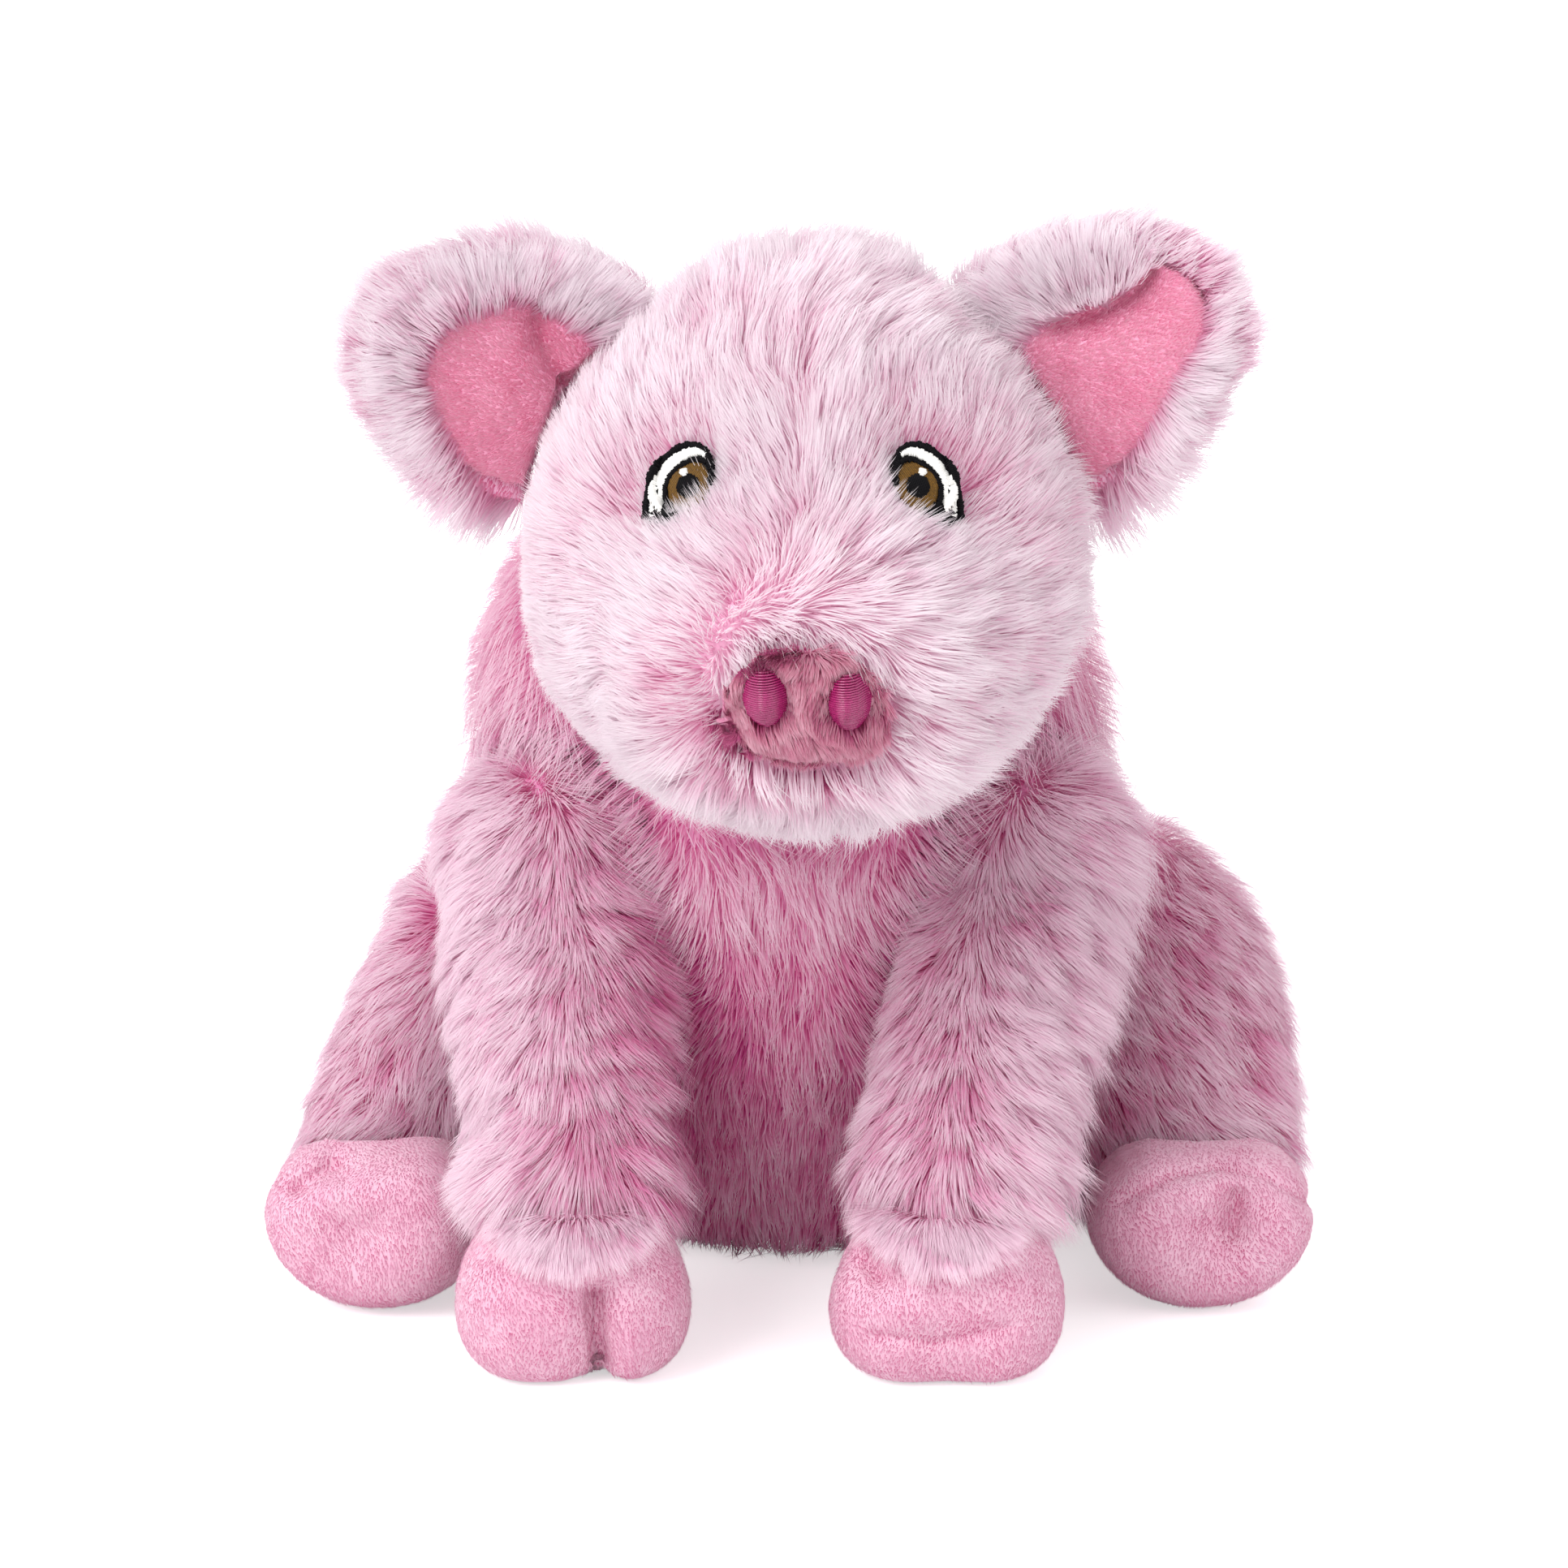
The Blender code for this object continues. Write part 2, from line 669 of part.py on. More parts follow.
def make_hind_leg(side, torso, coats):
    """The haunch and the lower leg that lies forward from it, clear of the torso through its swing."""
    pivot = Vector((side * HIP_X, HIP_Y, HIP_Z))
    stations = []
    for along, aside, wide, high in hind_leg_shares:
        centre = Vector((
            HAUNCH_X[side] + (HIND_HEM_X[side] - HAUNCH_X[side]) * aside,
            HAUNCH_BACK_Y + (HIND_HEM_Y - HAUNCH_BACK_Y) * along,
            HAUNCH_Z + (HIND_HEM_Z - HAUNCH_Z) * aside,
        ))
        stations.append(Station(centre, HAUNCH_HALF_WIDTH[side] * wide, HAUNCH_HALF_HEIGHT * high, 0))
    name = f"hind_leg_{SIDE_NAMES[side]}"
    leg = soft_form(name, cage(name, stations, HAUNCH_SIDES, X_AXIS), coats["fur"])
    tilt = math.radians(HIP_TILT_DEG)
    axis = Vector((-math.cos(tilt), 0, side * math.sin(tilt)))
    cut_by_turning(leg, torso, SEAM_GAP, pivot, axis, sweep(-HIND_UP_DEG, HIND_DOWN_DEG))
    boolean(leg, ball(f"ball_of_{name}", pivot, HIP_RADIUS), "UNION")
    boolean(torso, ball(f"socket_of_{name}", pivot, HIP_RADIUS + SOCKET_GAP))
    return leg, pivot


def make_hoof(name, toe_place, turn, leg, ground, coats):
    """A hoof with its sole at the local bottom and its cleft at the front, let onto the end of its leg."""
    stations = []
    for along, wide, deep, cleft in hoof_shares:
        centre = Z_AXIS * HOOF_LENGTH * (1 - along)
        stations.append(Station(centre, HOOF_HALF_WIDTH * wide, HOOF_HALF_DEPTH * deep, cleft))
    hoof = soft_form(name, cage(name, stations, HAUNCH_SIDES, X_AXIS), coats["plush"])
    hoof.data.transform(turn)
    hoof.location = toe_place
    set_down(hoof)
    boolean(hoof, grown(leg, SEAM_GAP, f"leg_for_{name}"))
    boolean(hoof, ground)
    return hoof


def make_tail(torso, coats):
    """A curl that starts at a ball in the rump, swept as a tube along a widening turn."""
    start = Vector((0, TORSO_HALF_DEPTH + OVERRUN, TAIL_Z))
    place, _ = surface_at(torso, start, -Y_AXIS)
    points = [place, place + Y_AXIS * TAIL_REACH / 2]
    middle = place + Y_AXIS * TAIL_REACH + Z_AXIS * CURL_RADIUS
    for step in range(TAIL_STEPS):
        along = step / (TAIL_STEPS - 1)
        angle = CURL_TURNS * math.tau * along
        turn = Vector((0, math.sin(angle), -math.cos(angle))) * CURL_RADIUS
        points.append(middle + turn + X_AXIS * CURL_DRIFT * along)
    route = bpy.data.curves.new("tail_route", "CURVE")
    route.dimensions = "3D"
    route.bevel_depth = TAIL_RADIUS
    route.bevel_resolution = 1
    route.use_fill_caps = True
    line = route.splines.new("POLY")
    line.points.add(len(points) - 1)
    for spot, point in zip(line.points, points):
        spot.co = (*point, 1)
    guide = add_cutter("tail_route", route)
    bpy.context.view_layer.update()
    mesh = bpy.data.meshes.new_from_object(guide.evaluated_get(bpy.context.evaluated_depsgraph_get()))
    mesh.name = "tail"
    bpy.data.objects.remove(guide)
    shape = bmesh.new()
    shape.from_mesh(mesh)
    bmesh.ops.remove_doubles(shape, verts=shape.verts, dist=WELD_DISTANCE)
    shape.to_mesh(mesh)
    shape.free()
    mesh.shade_smooth()
    tail = as_object("tail", mesh, bpy.data.collections["plush_pig"], coats["plush"])
    boolean(tail, ball("ball_of_tail", place, TAIL_ROOT_RADIUS), "UNION")
    boolean(torso, ball("socket_of_tail", place, TAIL_ROOT_RADIUS + SOCKET_GAP))
    return tail, place


def make_joint(name, pivot, parent, pieces):
    """An empty on the joint, under its parent's empty, that carries the pieces of one moving body."""
    empty = bpy.data.objects.new(name, None)
    bpy.data.collections["plush_pig"].objects.link(empty)
    empty.location = pivot
    if parent:
        bpy.context.view_layer.update()
        empty.parent = parent
        empty.matrix_parent_inverse = parent.matrix_world.inverted()
    bpy.context.view_layer.update()
    for piece in pieces:
        piece.parent = empty
        piece.matrix_parent_inverse = empty.matrix_world.inverted()
    return empty


def main():
    for obj in list(bpy.data.objects):
        bpy.data.objects.remove(obj, do_unlink=True)
    collection("plush_pig")
    collection("cutters").hide_render = True
    coats = make_materials()
    ground = make_ground()
    torso = make_torso(coats)
    head = make_head(coats)
    face = make_snout(head, coats)
    for side in (LEFT, RIGHT):
        face += make_eye(side, head, coats)
    ears = {side: make_ear(side, head, coats) for side in (LEFT, RIGHT)}
    tail, tail_pivot = make_tail(torso, coats)
    front = {side: make_front_leg(side, torso, coats) for side in (LEFT, RIGHT)}
    hind = {side: make_hind_leg(side, torso, coats) for side in (LEFT, RIGHT)}
    neck = hollow_neck(torso)
    seat = make_seat(torso, coats)
    boolean(torso, ground)
    root = make_joint("seat_joint", Vector((0, 0, 0)), None, [torso, *seat])
    neck_joint = make_joint("neck_joint", neck, root, [head, *face])
    make_joint("tail_joint", tail_pivot, root, [tail])
    for side, name in SIDE_NAMES.items():
        back, lining, pivot = ears[side]
        make_joint(f"ear_joint_{name}", pivot, neck_joint, [back, lining])
        leg, pivot = front[side]
        toe = Vector((FRONT_HEM_X[side], FRONT_HEM_Y - FRONT_HOOF_FORWARD, 0))
        hoof = make_hoof(f"front_hoof_{name}", toe, Matrix.Identity(4), leg, ground, coats)
        make_joint(f"shoulder_joint_{name}", pivot, root, [leg, hoof])
        leg, pivot = hind[side]
        lying = Matrix.Rotation(math.radians(side * HIND_HOOF_TURN_DEG[side]), 4, "Z")
        lying = lying @ Matrix.Rotation(math.radians(-90), 4, "X")
        toe = Vector((HIND_HEM_X[side], HIND_HEM_Y - HIND_HOOF_FORWARD, 0))
        hoof = make_hoof(f"hind_hoof_{name}", toe, lying, leg, ground, coats)
        make_joint(f"hip_joint_{name}", pivot, root, [leg, hoof])
    bpy.context.view_layer.update()


main()
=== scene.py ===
"""A plush pig in frosted long pile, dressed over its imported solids.

Each stuffed piece gets a backing cloth a little under its solid's surface, and pile that stands and lies
on it in soft locks, deep pink at the root and nearly white at the tip. Hooves, snout, ear linings and
tail are short plush, and eyes and nostrils are laid in satin stitch, thread by thread.
"""

import functools
import math

import bmesh
import bpy
import numpy as np
from bpy.props import FloatProperty, IntProperty, PointerProperty
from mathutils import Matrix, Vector
from mathutils.bvhtree import BVHTree


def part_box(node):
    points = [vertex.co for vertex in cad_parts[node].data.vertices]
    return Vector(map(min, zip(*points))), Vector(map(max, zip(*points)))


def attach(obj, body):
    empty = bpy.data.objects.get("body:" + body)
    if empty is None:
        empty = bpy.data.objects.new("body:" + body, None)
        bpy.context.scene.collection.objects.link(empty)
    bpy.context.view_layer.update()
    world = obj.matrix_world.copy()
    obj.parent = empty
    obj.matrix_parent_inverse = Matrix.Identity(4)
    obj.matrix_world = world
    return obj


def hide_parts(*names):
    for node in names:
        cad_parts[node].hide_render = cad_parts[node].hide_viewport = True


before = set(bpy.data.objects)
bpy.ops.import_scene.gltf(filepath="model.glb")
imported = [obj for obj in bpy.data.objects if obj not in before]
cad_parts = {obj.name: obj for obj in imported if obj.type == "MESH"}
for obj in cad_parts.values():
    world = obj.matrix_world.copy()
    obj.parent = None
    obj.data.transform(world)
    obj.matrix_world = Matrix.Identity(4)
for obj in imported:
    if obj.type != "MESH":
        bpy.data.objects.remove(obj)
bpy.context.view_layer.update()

bl_info = {
    "name": "Plush Pig",
    "version": (1, 0, 0),
    "blender": (4, 5, 0),
    "location": "3D View > Sidebar > Plush Pig",
    "description": "Dresses the plush pig in pile, short plush and satin stitch",
    "category": "Object",
}

SIDES = {"left": 1, "right": -1}
UP = Vector((0, 0, 1))
DOWN = np.array([0, 0, -1.0])

# Strands stop this far above the floor, and none is rooted where the skin is lower than these
LOWEST_STRAND = 0.0003
TORSO_CLEARANCE = 0.004
HIND_LEG_CLEARANCE = 0.006
HOOF_CLEARANCE = 0.0015

# The camera stands where the photograph was taken from
CAMERA_TARGET = Vector((0.0, -0.060, 0.098))
CAMERA_DISTANCE = 1.0
CAMERA_ELEVATION_DEG = 14
CAMERA_LENS_MM = 118
CAMERA_SENSOR_MM = 36
PICTURE_SIDE = 1932
PICTURE_MIDDLE = (972, 1002)

# Each lamp with its place and size in metres and its power in watts, and what they all point at
LAMPS = (
    ("key_lamp", (-1.0, -1.0, 1.2), 1.1, 21.5),
    ("fill_lamp", (1.0, -0.9, 0.5), 1.2, 3.2),
    ("rim_lamp", (0.3, 1.0, 1.0), 0.8, 4.0),
)
LAMP_TARGET = Vector((0, -0.05, 0.1))

# The world's brightness as it lights the pig and as the camera sees it, and the floor's own glow to the camera
WORLD_LIGHT = 0.80
WORLD_SEEN = 1.0
FLOOR_GLOW = 0.55

# The pile's colours from root to tip, and how far up the strand each begins
PILE_TONES = ((0.00, "#D24EA0"), (0.30, "#E47CB6"), (0.54, "#EFAACF"), (0.74, "#F6CFE4"), (1.00, "#FBECF4"))
HEAD_TONES = ((0.00, "#E48EBC"), (0.30, "#EEB6D3"), (0.54, "#F5D3E4"), (0.74, "#F9E6F0"), (1.00, "#FCF5F9"))
NAP_TONES = ((0.00, "#DC86AE"), (0.40, "#E4ABC6"), (0.70, "#E9C0D4"), (1.00, "#EED2E0"))
SNOUT_TONES = ((0.00, "#B0306C"), (0.30, "#CC6895"), (0.60, "#E29AB6"), (1.00, "#F0C8D6"))
SEAM_AND_SHADE_TONES = ((0.00, "#AC3A76"), (0.50, "#C4568E"), (1.00, "#DA82AC"))
LINING_TONES = ((0.00, "#EA86B4"), (0.40, "#F2ABCA"), (0.70, "#F5C0D6"), (1.00, "#F8D3E2"))
TONE_SPREAD = 0.80
TONE_STRIP_SHARE = 0.03

# A fibre lets more than half of its light through, so the shade between strands stays pink
LIGHT_THROUGH = 0.6


def linear(colour):
    """An sRGB hex colour as linear red, green, blue and alpha."""
    parts = [int(colour[start:start + 2], 16) / 255 for start in (1, 3, 5)]
    return [part / 12.92 if part <= 0.04045 else ((part + 0.055) / 1.055) ** 2.4 for part in parts] + [1]


def add_node(tree, kind, settings=None, links=None):
    """Adds a node, sets its settings, and sets or links each input that links names."""
    node = tree.nodes.new(kind)
    for name, value in (settings or {}).items():
        setattr(node, name, value)
    for key, value in (links or {}).items():
        if isinstance(value, bpy.types.NodeSocket):
            tree.links.new(value, node.inputs[key])
        else:
            node.inputs[key].default_value = value
    return node


def first(tree, kind, links=None, settings=None):
    """The first output of a new node."""
    return add_node(tree, kind, settings, links).outputs[0]


def maths(tree, operation, *values, clamp=False):
    """What a Math node makes of these values and sockets."""
    return first(tree, "ShaderNodeMath", dict(enumerate(values)), {"operation": operation, "use_clamp": clamp})


def noise(tree, grain_mm, detail):
    """Noise with grains of this size, fixed to the piece."""
    place = add_node(tree, "ShaderNodeTexCoord").outputs["Object"]
    links = {"Vector": place, "Scale": 1000 / grain_mm, "Detail": detail}
    return first(tree, "ShaderNodeTexNoise", links)


def new_material(name, roughness, sheen, specular=0.3):
    """A material and its Principled node, with the values that are the same all over set on its sockets."""
    made = bpy.data.materials.new(name)
    made.use_nodes = True
    surface = made.node_tree.nodes["Principled BSDF"]
    surface.inputs["Roughness"].default_value = roughness
    surface.inputs["Sheen Weight"].default_value = sheen
    surface.inputs["Sheen Roughness"].default_value = 0.5
    surface.inputs["Specular IOR Level"].default_value = specular
    return made, made.node_tree, surface


def ramp(tree, tones, place):
    node = add_node(tree, "ShaderNodeValToRGB", links={0: place})
    bar = node.color_ramp
    while len(bar.elements) < len(tones):
        bar.elements.new(0.5)
    for element, (position, colour) in zip(bar.elements, tones):
        element.position = position
        element.color = linear(colour)
    return node.outputs["Color"]


def strand_material(name, tones, roughness, sheen):
    """Polyester strands: the map's height runs from root to tip and its width from deeper to paler strands."""
    made, tree, surface = new_material(name, roughness, sheen, 0.25)
    place = add_node(tree, "ShaderNodeUVMap", {"uv_map": "OFBake"}).outputs["UV"]
    parts = add_node(tree, "ShaderNodeSeparateXYZ", links={0: place}).outputs
    paler = maths(tree, "MULTIPLY_ADD", parts["X"], TONE_SPREAD, -TONE_SPREAD / 2)
    colour = ramp(tree, tones, maths(tree, "ADD", parts["Y"], paler, clamp=True))
    tree.links.new(colour, surface.inputs["Base Color"])
    through = first(tree, "ShaderNodeBsdfTranslucent", {"Color": colour})
    both = add_node(tree, "ShaderNodeMixShader", links={0: LIGHT_THROUGH, 1: surface.outputs[0], 2: through})
    tree.links.new(both.outputs[0], tree.nodes["Material Output"].inputs["Surface"])
    return made


def cloth_material(name, dark, light, grain_mm, roughness, sheen, bump_mm):
    """Cloth whose nap or weave shows as a fine mottling with a shallow relief."""
    made, tree, surface = new_material(name, roughness, sheen, 0.2)
    fine = noise(tree, grain_mm, 3)
    broad = maths(tree, "MULTIPLY_ADD", noise(tree, grain_mm * 9, 2), 0.9, -0.2)
    mixed = maths(tree, "MULTIPLY_ADD", fine, 0.6, broad)
    tree.links.new(ramp(tree, ((0.2, dark), (0.8, light)), mixed), surface.inputs["Base Color"])
    relief = {"Height": fine, "Distance": bump_mm / 1000, "Strength": 0.6}
    tree.links.new(first(tree, "ShaderNodeBump", relief), surface.inputs["Normal"])
    return made


def thread_material(name, dark, light, roughness=0.45, specular=0.3):
    """Rayon embroidery thread: glossy along its twist, with a little unevenness from strand to strand."""
    made, tree, surface = new_material(name, roughness, 0.0, specular)
    tree.links.new(ramp(tree, ((0.3, dark), (0.7, light)), noise(tree, 0.25, 2)), surface.inputs["Base Color"])
    return made


def make_materials():
    return {
        # Long acrylic and polyester pile, dyed deep at the root and left pale at the tip, with a silky sheen
        "pile": strand_material("frosted_pile_strands", PILE_TONES, 0.55, 0.10),
        # The head's and ears' pile, paler down to its root
        "head_pile": strand_material("pale_pile_strands", HEAD_TONES, 0.55, 0.15),
        # The pile's knitted backing, seen only where locks part
        "backing": cloth_material("knitted_pile_backing", "#DE86B6", "#EBA6CA", 0.9, 0.9, 0.1, 0.2),
        # The same backing under the head's paler pile
        "head_backing": cloth_material("knitted_head_backing", "#E6A6C6", "#EFC0D7", 0.9, 0.9, 0.1, 0.2),
        # Short velboa plush: its nap is 1 to 2 mm and reads as soft, even cloth
        "nap": strand_material("velboa_nap_strands", NAP_TONES, 0.7, 0.3),
        "plush": cloth_material("velboa_ground", "#DFA4BE", "#E7BFD0", 0.8, 0.85, 0.35, 0.25),
        # The snout's plush, deeper in colour and longer in its nap
        "snout_nap": strand_material("snout_nap_strands", SNOUT_TONES, 0.7, 0.25),
        "snout": cloth_material("snout_ground", "#C86E97", "#DA94B0", 0.8, 0.85, 0.3, 0.25),
        # The crease under the snout, where the nap is trodden into the seam, its deep colour partly the seam's own
        # and partly painted shade, and the hollow over the snout, where it is painted shade alone
        "seam_nap": strand_material("snout_seam_and_shade_strands", SEAM_AND_SHADE_TONES, 0.7, 0.2),
        # The ear linings' rose plush
        "lining_nap": strand_material("lining_nap_strands", LINING_TONES, 0.7, 0.3),
        "lining": cloth_material("lining_ground", "#E898B9", "#F0B2CA", 0.8, 0.85, 0.35, 0.25),
        # Smooth warp-knitted cloth, as a seat panel is cut from
        "seat": cloth_material("tricot_seat_cloth", "#E3A2C2", "#EEBDD3", 0.5, 0.8, 0.1, 0.1),
        # Plain-woven undyed cotton, as a pellet pouch is sewn from
        "cotton": cloth_material("undyed_cotton_cloth", "#DCD3C2", "#EFE8DA", 0.5, 0.85, 0.1, 0.1),
        # Rayon embroidery thread: the nostrils' glossy stitches on their dull underlay, a real layer whose deeper
        # colour is partly painted shade between the stitches, and the eyes' colours
        "magenta": thread_material("magenta_rayon_thread", "#88124F", "#B02870", 0.25, 0.9),
        "deep_magenta": thread_material("magenta_underlay_thread", "#780A42", "#8E1353", 0.6, 0.2),
        "black": thread_material("black_rayon_thread", "#030205", "#0A080D", 0.5, 0.12),
        "white": thread_material("white_rayon_thread", "#E4E2DE", "#FBFAF7"),
        "brown": thread_material("olive_brown_rayon_thread", "#4E340C", "#7A5618"),
    }


MATERIALS = make_materials()


def show(obj):
    bpy.context.scene.collection.objects.link(obj)
    return obj


def baked(obj):
    """The object's mesh as its modifiers leave it, in a plain object of the same name."""
    bpy.context.view_layer.update()
    mesh = bpy.data.meshes.new_from_object(obj.evaluated_get(bpy.context.evaluated_depsgraph_get()))
    name = obj.name
    bpy.data.objects.remove(obj)
    made = show(bpy.data.objects.new(name, mesh))
    mesh.name = name
    return made


def corners(mesh):
    found = np.empty(len(mesh.vertices) * 3)
    mesh.vertices.foreach_get("co", found)
    return found.reshape(-1, 3)


def normals(mesh):
    found = np.empty(len(mesh.vertices) * 3)
    mesh.vertex_normals.foreach_get("vector", found)
    return found.reshape(-1, 3)


def surface_of(skin):
    """The skin's vertices and their normals."""
    return corners(skin.data), normals(skin.data)


def place_corners(mesh, places):
    mesh.vertices.foreach_set("co", np.asarray(places, float).ravel())
    mesh.update()


def node_bvh(names):
    """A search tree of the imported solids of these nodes."""
    points, faces = [], []
    for name in names:
        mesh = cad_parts[name].data
        base = len(points)
        points += [tuple(place) for place in corners(mesh)]
        faces += [tuple(base + corner for corner in face.vertices) for face in mesh.polygons]
    return BVHTree.FromPolygons(points, faces)


def rounded(name, node, material, voxel, smoothing, inset):
    """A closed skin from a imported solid: remeshed evenly, softened and drawn in by the inset."""
    shape = bmesh.new()
    shape.from_mesh(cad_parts[node].data)
    bmesh.ops.remove_doubles(shape, verts=shape.verts, dist=0.00001)
    mesh = bpy.data.meshes.new(name)
    shape.to_mesh(mesh)
    shape.free()
    made = show(bpy.data.objects.new(name, mesh))
    remesh = made.modifiers.new("even", "REMESH")
    remesh.mode = "VOXEL"
    remesh.voxel_size = voxel
    soften = made.modifiers.new("soften", "SMOOTH")
    soften.iterations = smoothing
    soften.factor = 0.5
    shrink = made.modifiers.new("shrink", "DISPLACE")
    shrink.strength = -inset
    shrink.mid_level = 0
    made = baked(made)
    made.data.materials.clear()
    made.data.materials.append(material)
    made.data.shade_smooth()
    return made


def flat(vectors, ups):
    """These vectors laid on the surface, at unit length."""
    laid = vectors - ups * np.sum(vectors * ups, axis=1, keepdims=True)
    return laid / np.maximum(np.linalg.norm(laid, axis=1, keepdims=True), 1e-9)


def rise(values, start, width):
    """0 up to the start and 1 from this width further on."""
    return np.clip((values - start) / width, 0, 1)


def fall(values, end, width):
    """1 until this width short of the end and 0 beyond it."""
    return np.clip((end - values) / width, 0, 1)


def bell(values, width):
    """1 at nought, and down to about a third at this width."""
    return np.exp(-((values / width) ** 2))


def cover_of(places, ups, own, near=0.0002, far=0.0022):
    """1 where the surface is open, less where another piece's solid lies close in front of it."""
    others = node_bvh([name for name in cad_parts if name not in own])
    cover = np.ones(len(places))
    for index, (place, up) in enumerate(zip(places, ups)):
        hit = others.ray_cast(Vector(place), Vector(up))
        if hit[0] is None:
            continue
        if hit[1].dot(Vector(up)) > 0 or hit[3] < near:
            cover[index] = 0
        elif hit[3] < far:
            cover[index] = (hit[3] - near) / (far - near)
    return cover


def shaded(places, ups, start=0.0045, reach=0.035):
    """How much of each place's view is hidden within this reach: 0 in the open, near 1 in a deep fold, and less high
    up; it sets how deep the painted shade on the pile is.
    """
    solids = node_bvh(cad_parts)
    count = 10
    heights = 1 - 2 * (np.arange(count) + 0.5) / count
    turns = np.arange(count) * math.pi * (3 - math.sqrt(5))
    wide = np.sqrt(1 - heights**2)
    rays = np.stack((wide * np.cos(turns), wide * np.sin(turns), heights), axis=1)
    hidden = np.zeros(len(places))
    for index, (place, up) in enumerate(zip(places, ups)):
        origin = Vector(place + up * start)
        for ray in rays:
            if solids.ray_cast(origin, Vector(up + ray * 0.98).normalized(), reach)[0] is not None:
                hidden[index] += 1 / count
    return hidden * np.clip((0.125 - places[:, 2]) / 0.025, 0.15, 1)


def toward(places, ups, others, reach=0.009):
    """Ways along the surface to the nearest part of other nodes, long and short as it is near and far."""
    solids = node_bvh(others)
    gaps = np.zeros_like(places)
    for index, place in enumerate(places):
        gaps[index] = np.array(solids.find_nearest(Vector(place))[0]) - place
    near = bell(np.linalg.norm(gaps, axis=1), reach)
    return flat(gaps, ups) * near[:, None], near


COMBED = ("way", "pile", "cover", "pale", "stand", "gather")


def comb(skin, way, pile=1.0, cover=1.0, pale=0.5, stand=1.0, gather=1.0):
    """Writes which way the pile lies, and how long, dense, pale, upright and tufted it is, on the skin."""
    mesh = skin.data
    count = len(mesh.vertices)
    for name, values in zip(COMBED, (way, pile, cover, pale, stand, gather)):
        kind, key, size = ("FLOAT_VECTOR", "vector", (count, 3)) if name == "way" else ("FLOAT", "value", (count,))
        held = mesh.attributes.get(name) or mesh.attributes.new(name, kind, "POINT")
        held.data.foreach_set(key, np.broadcast_to(np.asarray(values, np.float32), size).ravel())


def drift(places, size, seed, waves=8):
    """Smooth vectors that wander over about this size, the same on every run."""
    dice = np.random.default_rng(seed)
    total = np.zeros((len(places), 3))
    for _ in range(waves):
        heading = dice.normal(size=3)
        heading *= 2 * math.pi / size * dice.uniform(0.6, 1.5) / np.linalg.norm(heading)
        total += dice.normal(size=3) * np.sin(places @ heading + dice.uniform(0, 2 * math.pi))[:, None]
    return total / math.sqrt(waves)


def seen_at(places):
    """Where these places show in the photograph, in its pixels."""
    lift = math.radians(CAMERA_ELEVATION_DEG)
    view = np.array((0, math.cos(lift), -math.sin(lift)))
    high = np.array((0, math.sin(lift), math.cos(lift)))
    gap = np.asarray(places) - np.array(CAMERA_TARGET)
    scale = CAMERA_LENS_MM / CAMERA_SENSOR_MM * PICTURE_SIDE / (CAMERA_DISTANCE + gap @ view)
    return np.stack((PICTURE_MIDDLE[0] + gap[:, 0] * scale, PICTURE_MIDDLE[1] - (gap @ high) * scale), axis=1)


def faces_camera(ups):
    lift = math.radians(CAMERA_ELEVATION_DEG)
    return ups @ np.array((0, -math.cos(lift), math.sin(lift))) > 0.05


def off_path(spots, path):
    """The distance of each spot from a path of straight stretches."""
    best = np.full(len(spots), 1e9)
    path = np.array(path, float)
    for start, end in zip(path[:-1], path[1:]):
        run = end - start
        share = np.clip((spots - start) @ run / (run @ run), 0, 1)
        best = np.minimum(best, np.linalg.norm(spots - start - share[:, None] * run, axis=1))
    return best


def inside(spots, outline):
    """Which spots lie within a closed outline."""
    hit = np.zeros(len(spots), bool)
    x, y = spots[:, 0], spots[:, 1]
    for (ax, ay), (bx, by) in zip(outline, (*outline[1:], outline[0])):
        crosses = (ay > y) != (by > y)
        hit ^= crosses & (x < (bx - ax) * (y - ay) / ((by - ay) or 1e-9) + ax)
    return hit


# The way the drawn-in fronts face, up to the camera a little
FRONT_FACING = np.array([0, -0.97, 0.24])


def draw_in(skin, path, depth, width):
    """Pulls the skin in along a path of the photograph, as a stitch does, in a broad and a narrow fold."""
    for share, spread in ((0.64, 3.0), (0.36, 1.0)):
        places, ups = surface_of(skin)
        turned = np.clip(FRONT_FACING @ ups.T / 0.3 + 1.2, 0, 1)
        near = bell(off_path(seen_at(places), path), width * spread) * turned
        place_corners(skin.data, places - ups * (near * depth * share)[:, None])


def node_group(name, inputs):
    """A Geometry Nodes tree with these inputs beside its geometry, and the sockets that carry them."""
    tree = bpy.data.node_groups.new(name, "GeometryNodeTree")
    face = tree.interface
    face.new_socket("Geometry", in_out="INPUT", socket_type="NodeSocketGeometry")
    for label, kind, value in inputs:
        socket = face.new_socket(label, in_out="INPUT", socket_type=f"NodeSocket{kind}")
        if value is not None:
            socket.default_value = value
    face.new_socket("Geometry", in_out="OUTPUT", socket_type="NodeSocketGeometry")
    return tree, add_node(tree, "NodeGroupInput").outputs


def leave_tree(tree, shape, material):
    """Ends the tree with this shape in this material."""
    worn = first(tree, "GeometryNodeSetMaterial", {"Geometry": shape, "Material": material})
    tree.links.new(worn, add_node(tree, "NodeGroupOutput").inputs[0])
    return tree


def run_tree(made, tree, values):
    """The object's mesh as the tree makes it with these values."""
    growth = made.modifiers.new(tree.name, "NODES")
    growth.node_group = tree
    for item in tree.interface.items_tree:
        if item.in_out == "INPUT" and item.name in values:
            growth[item.identifier] = values[item.name]
    made = baked(made)
    made.data.shade_smooth()
    return made


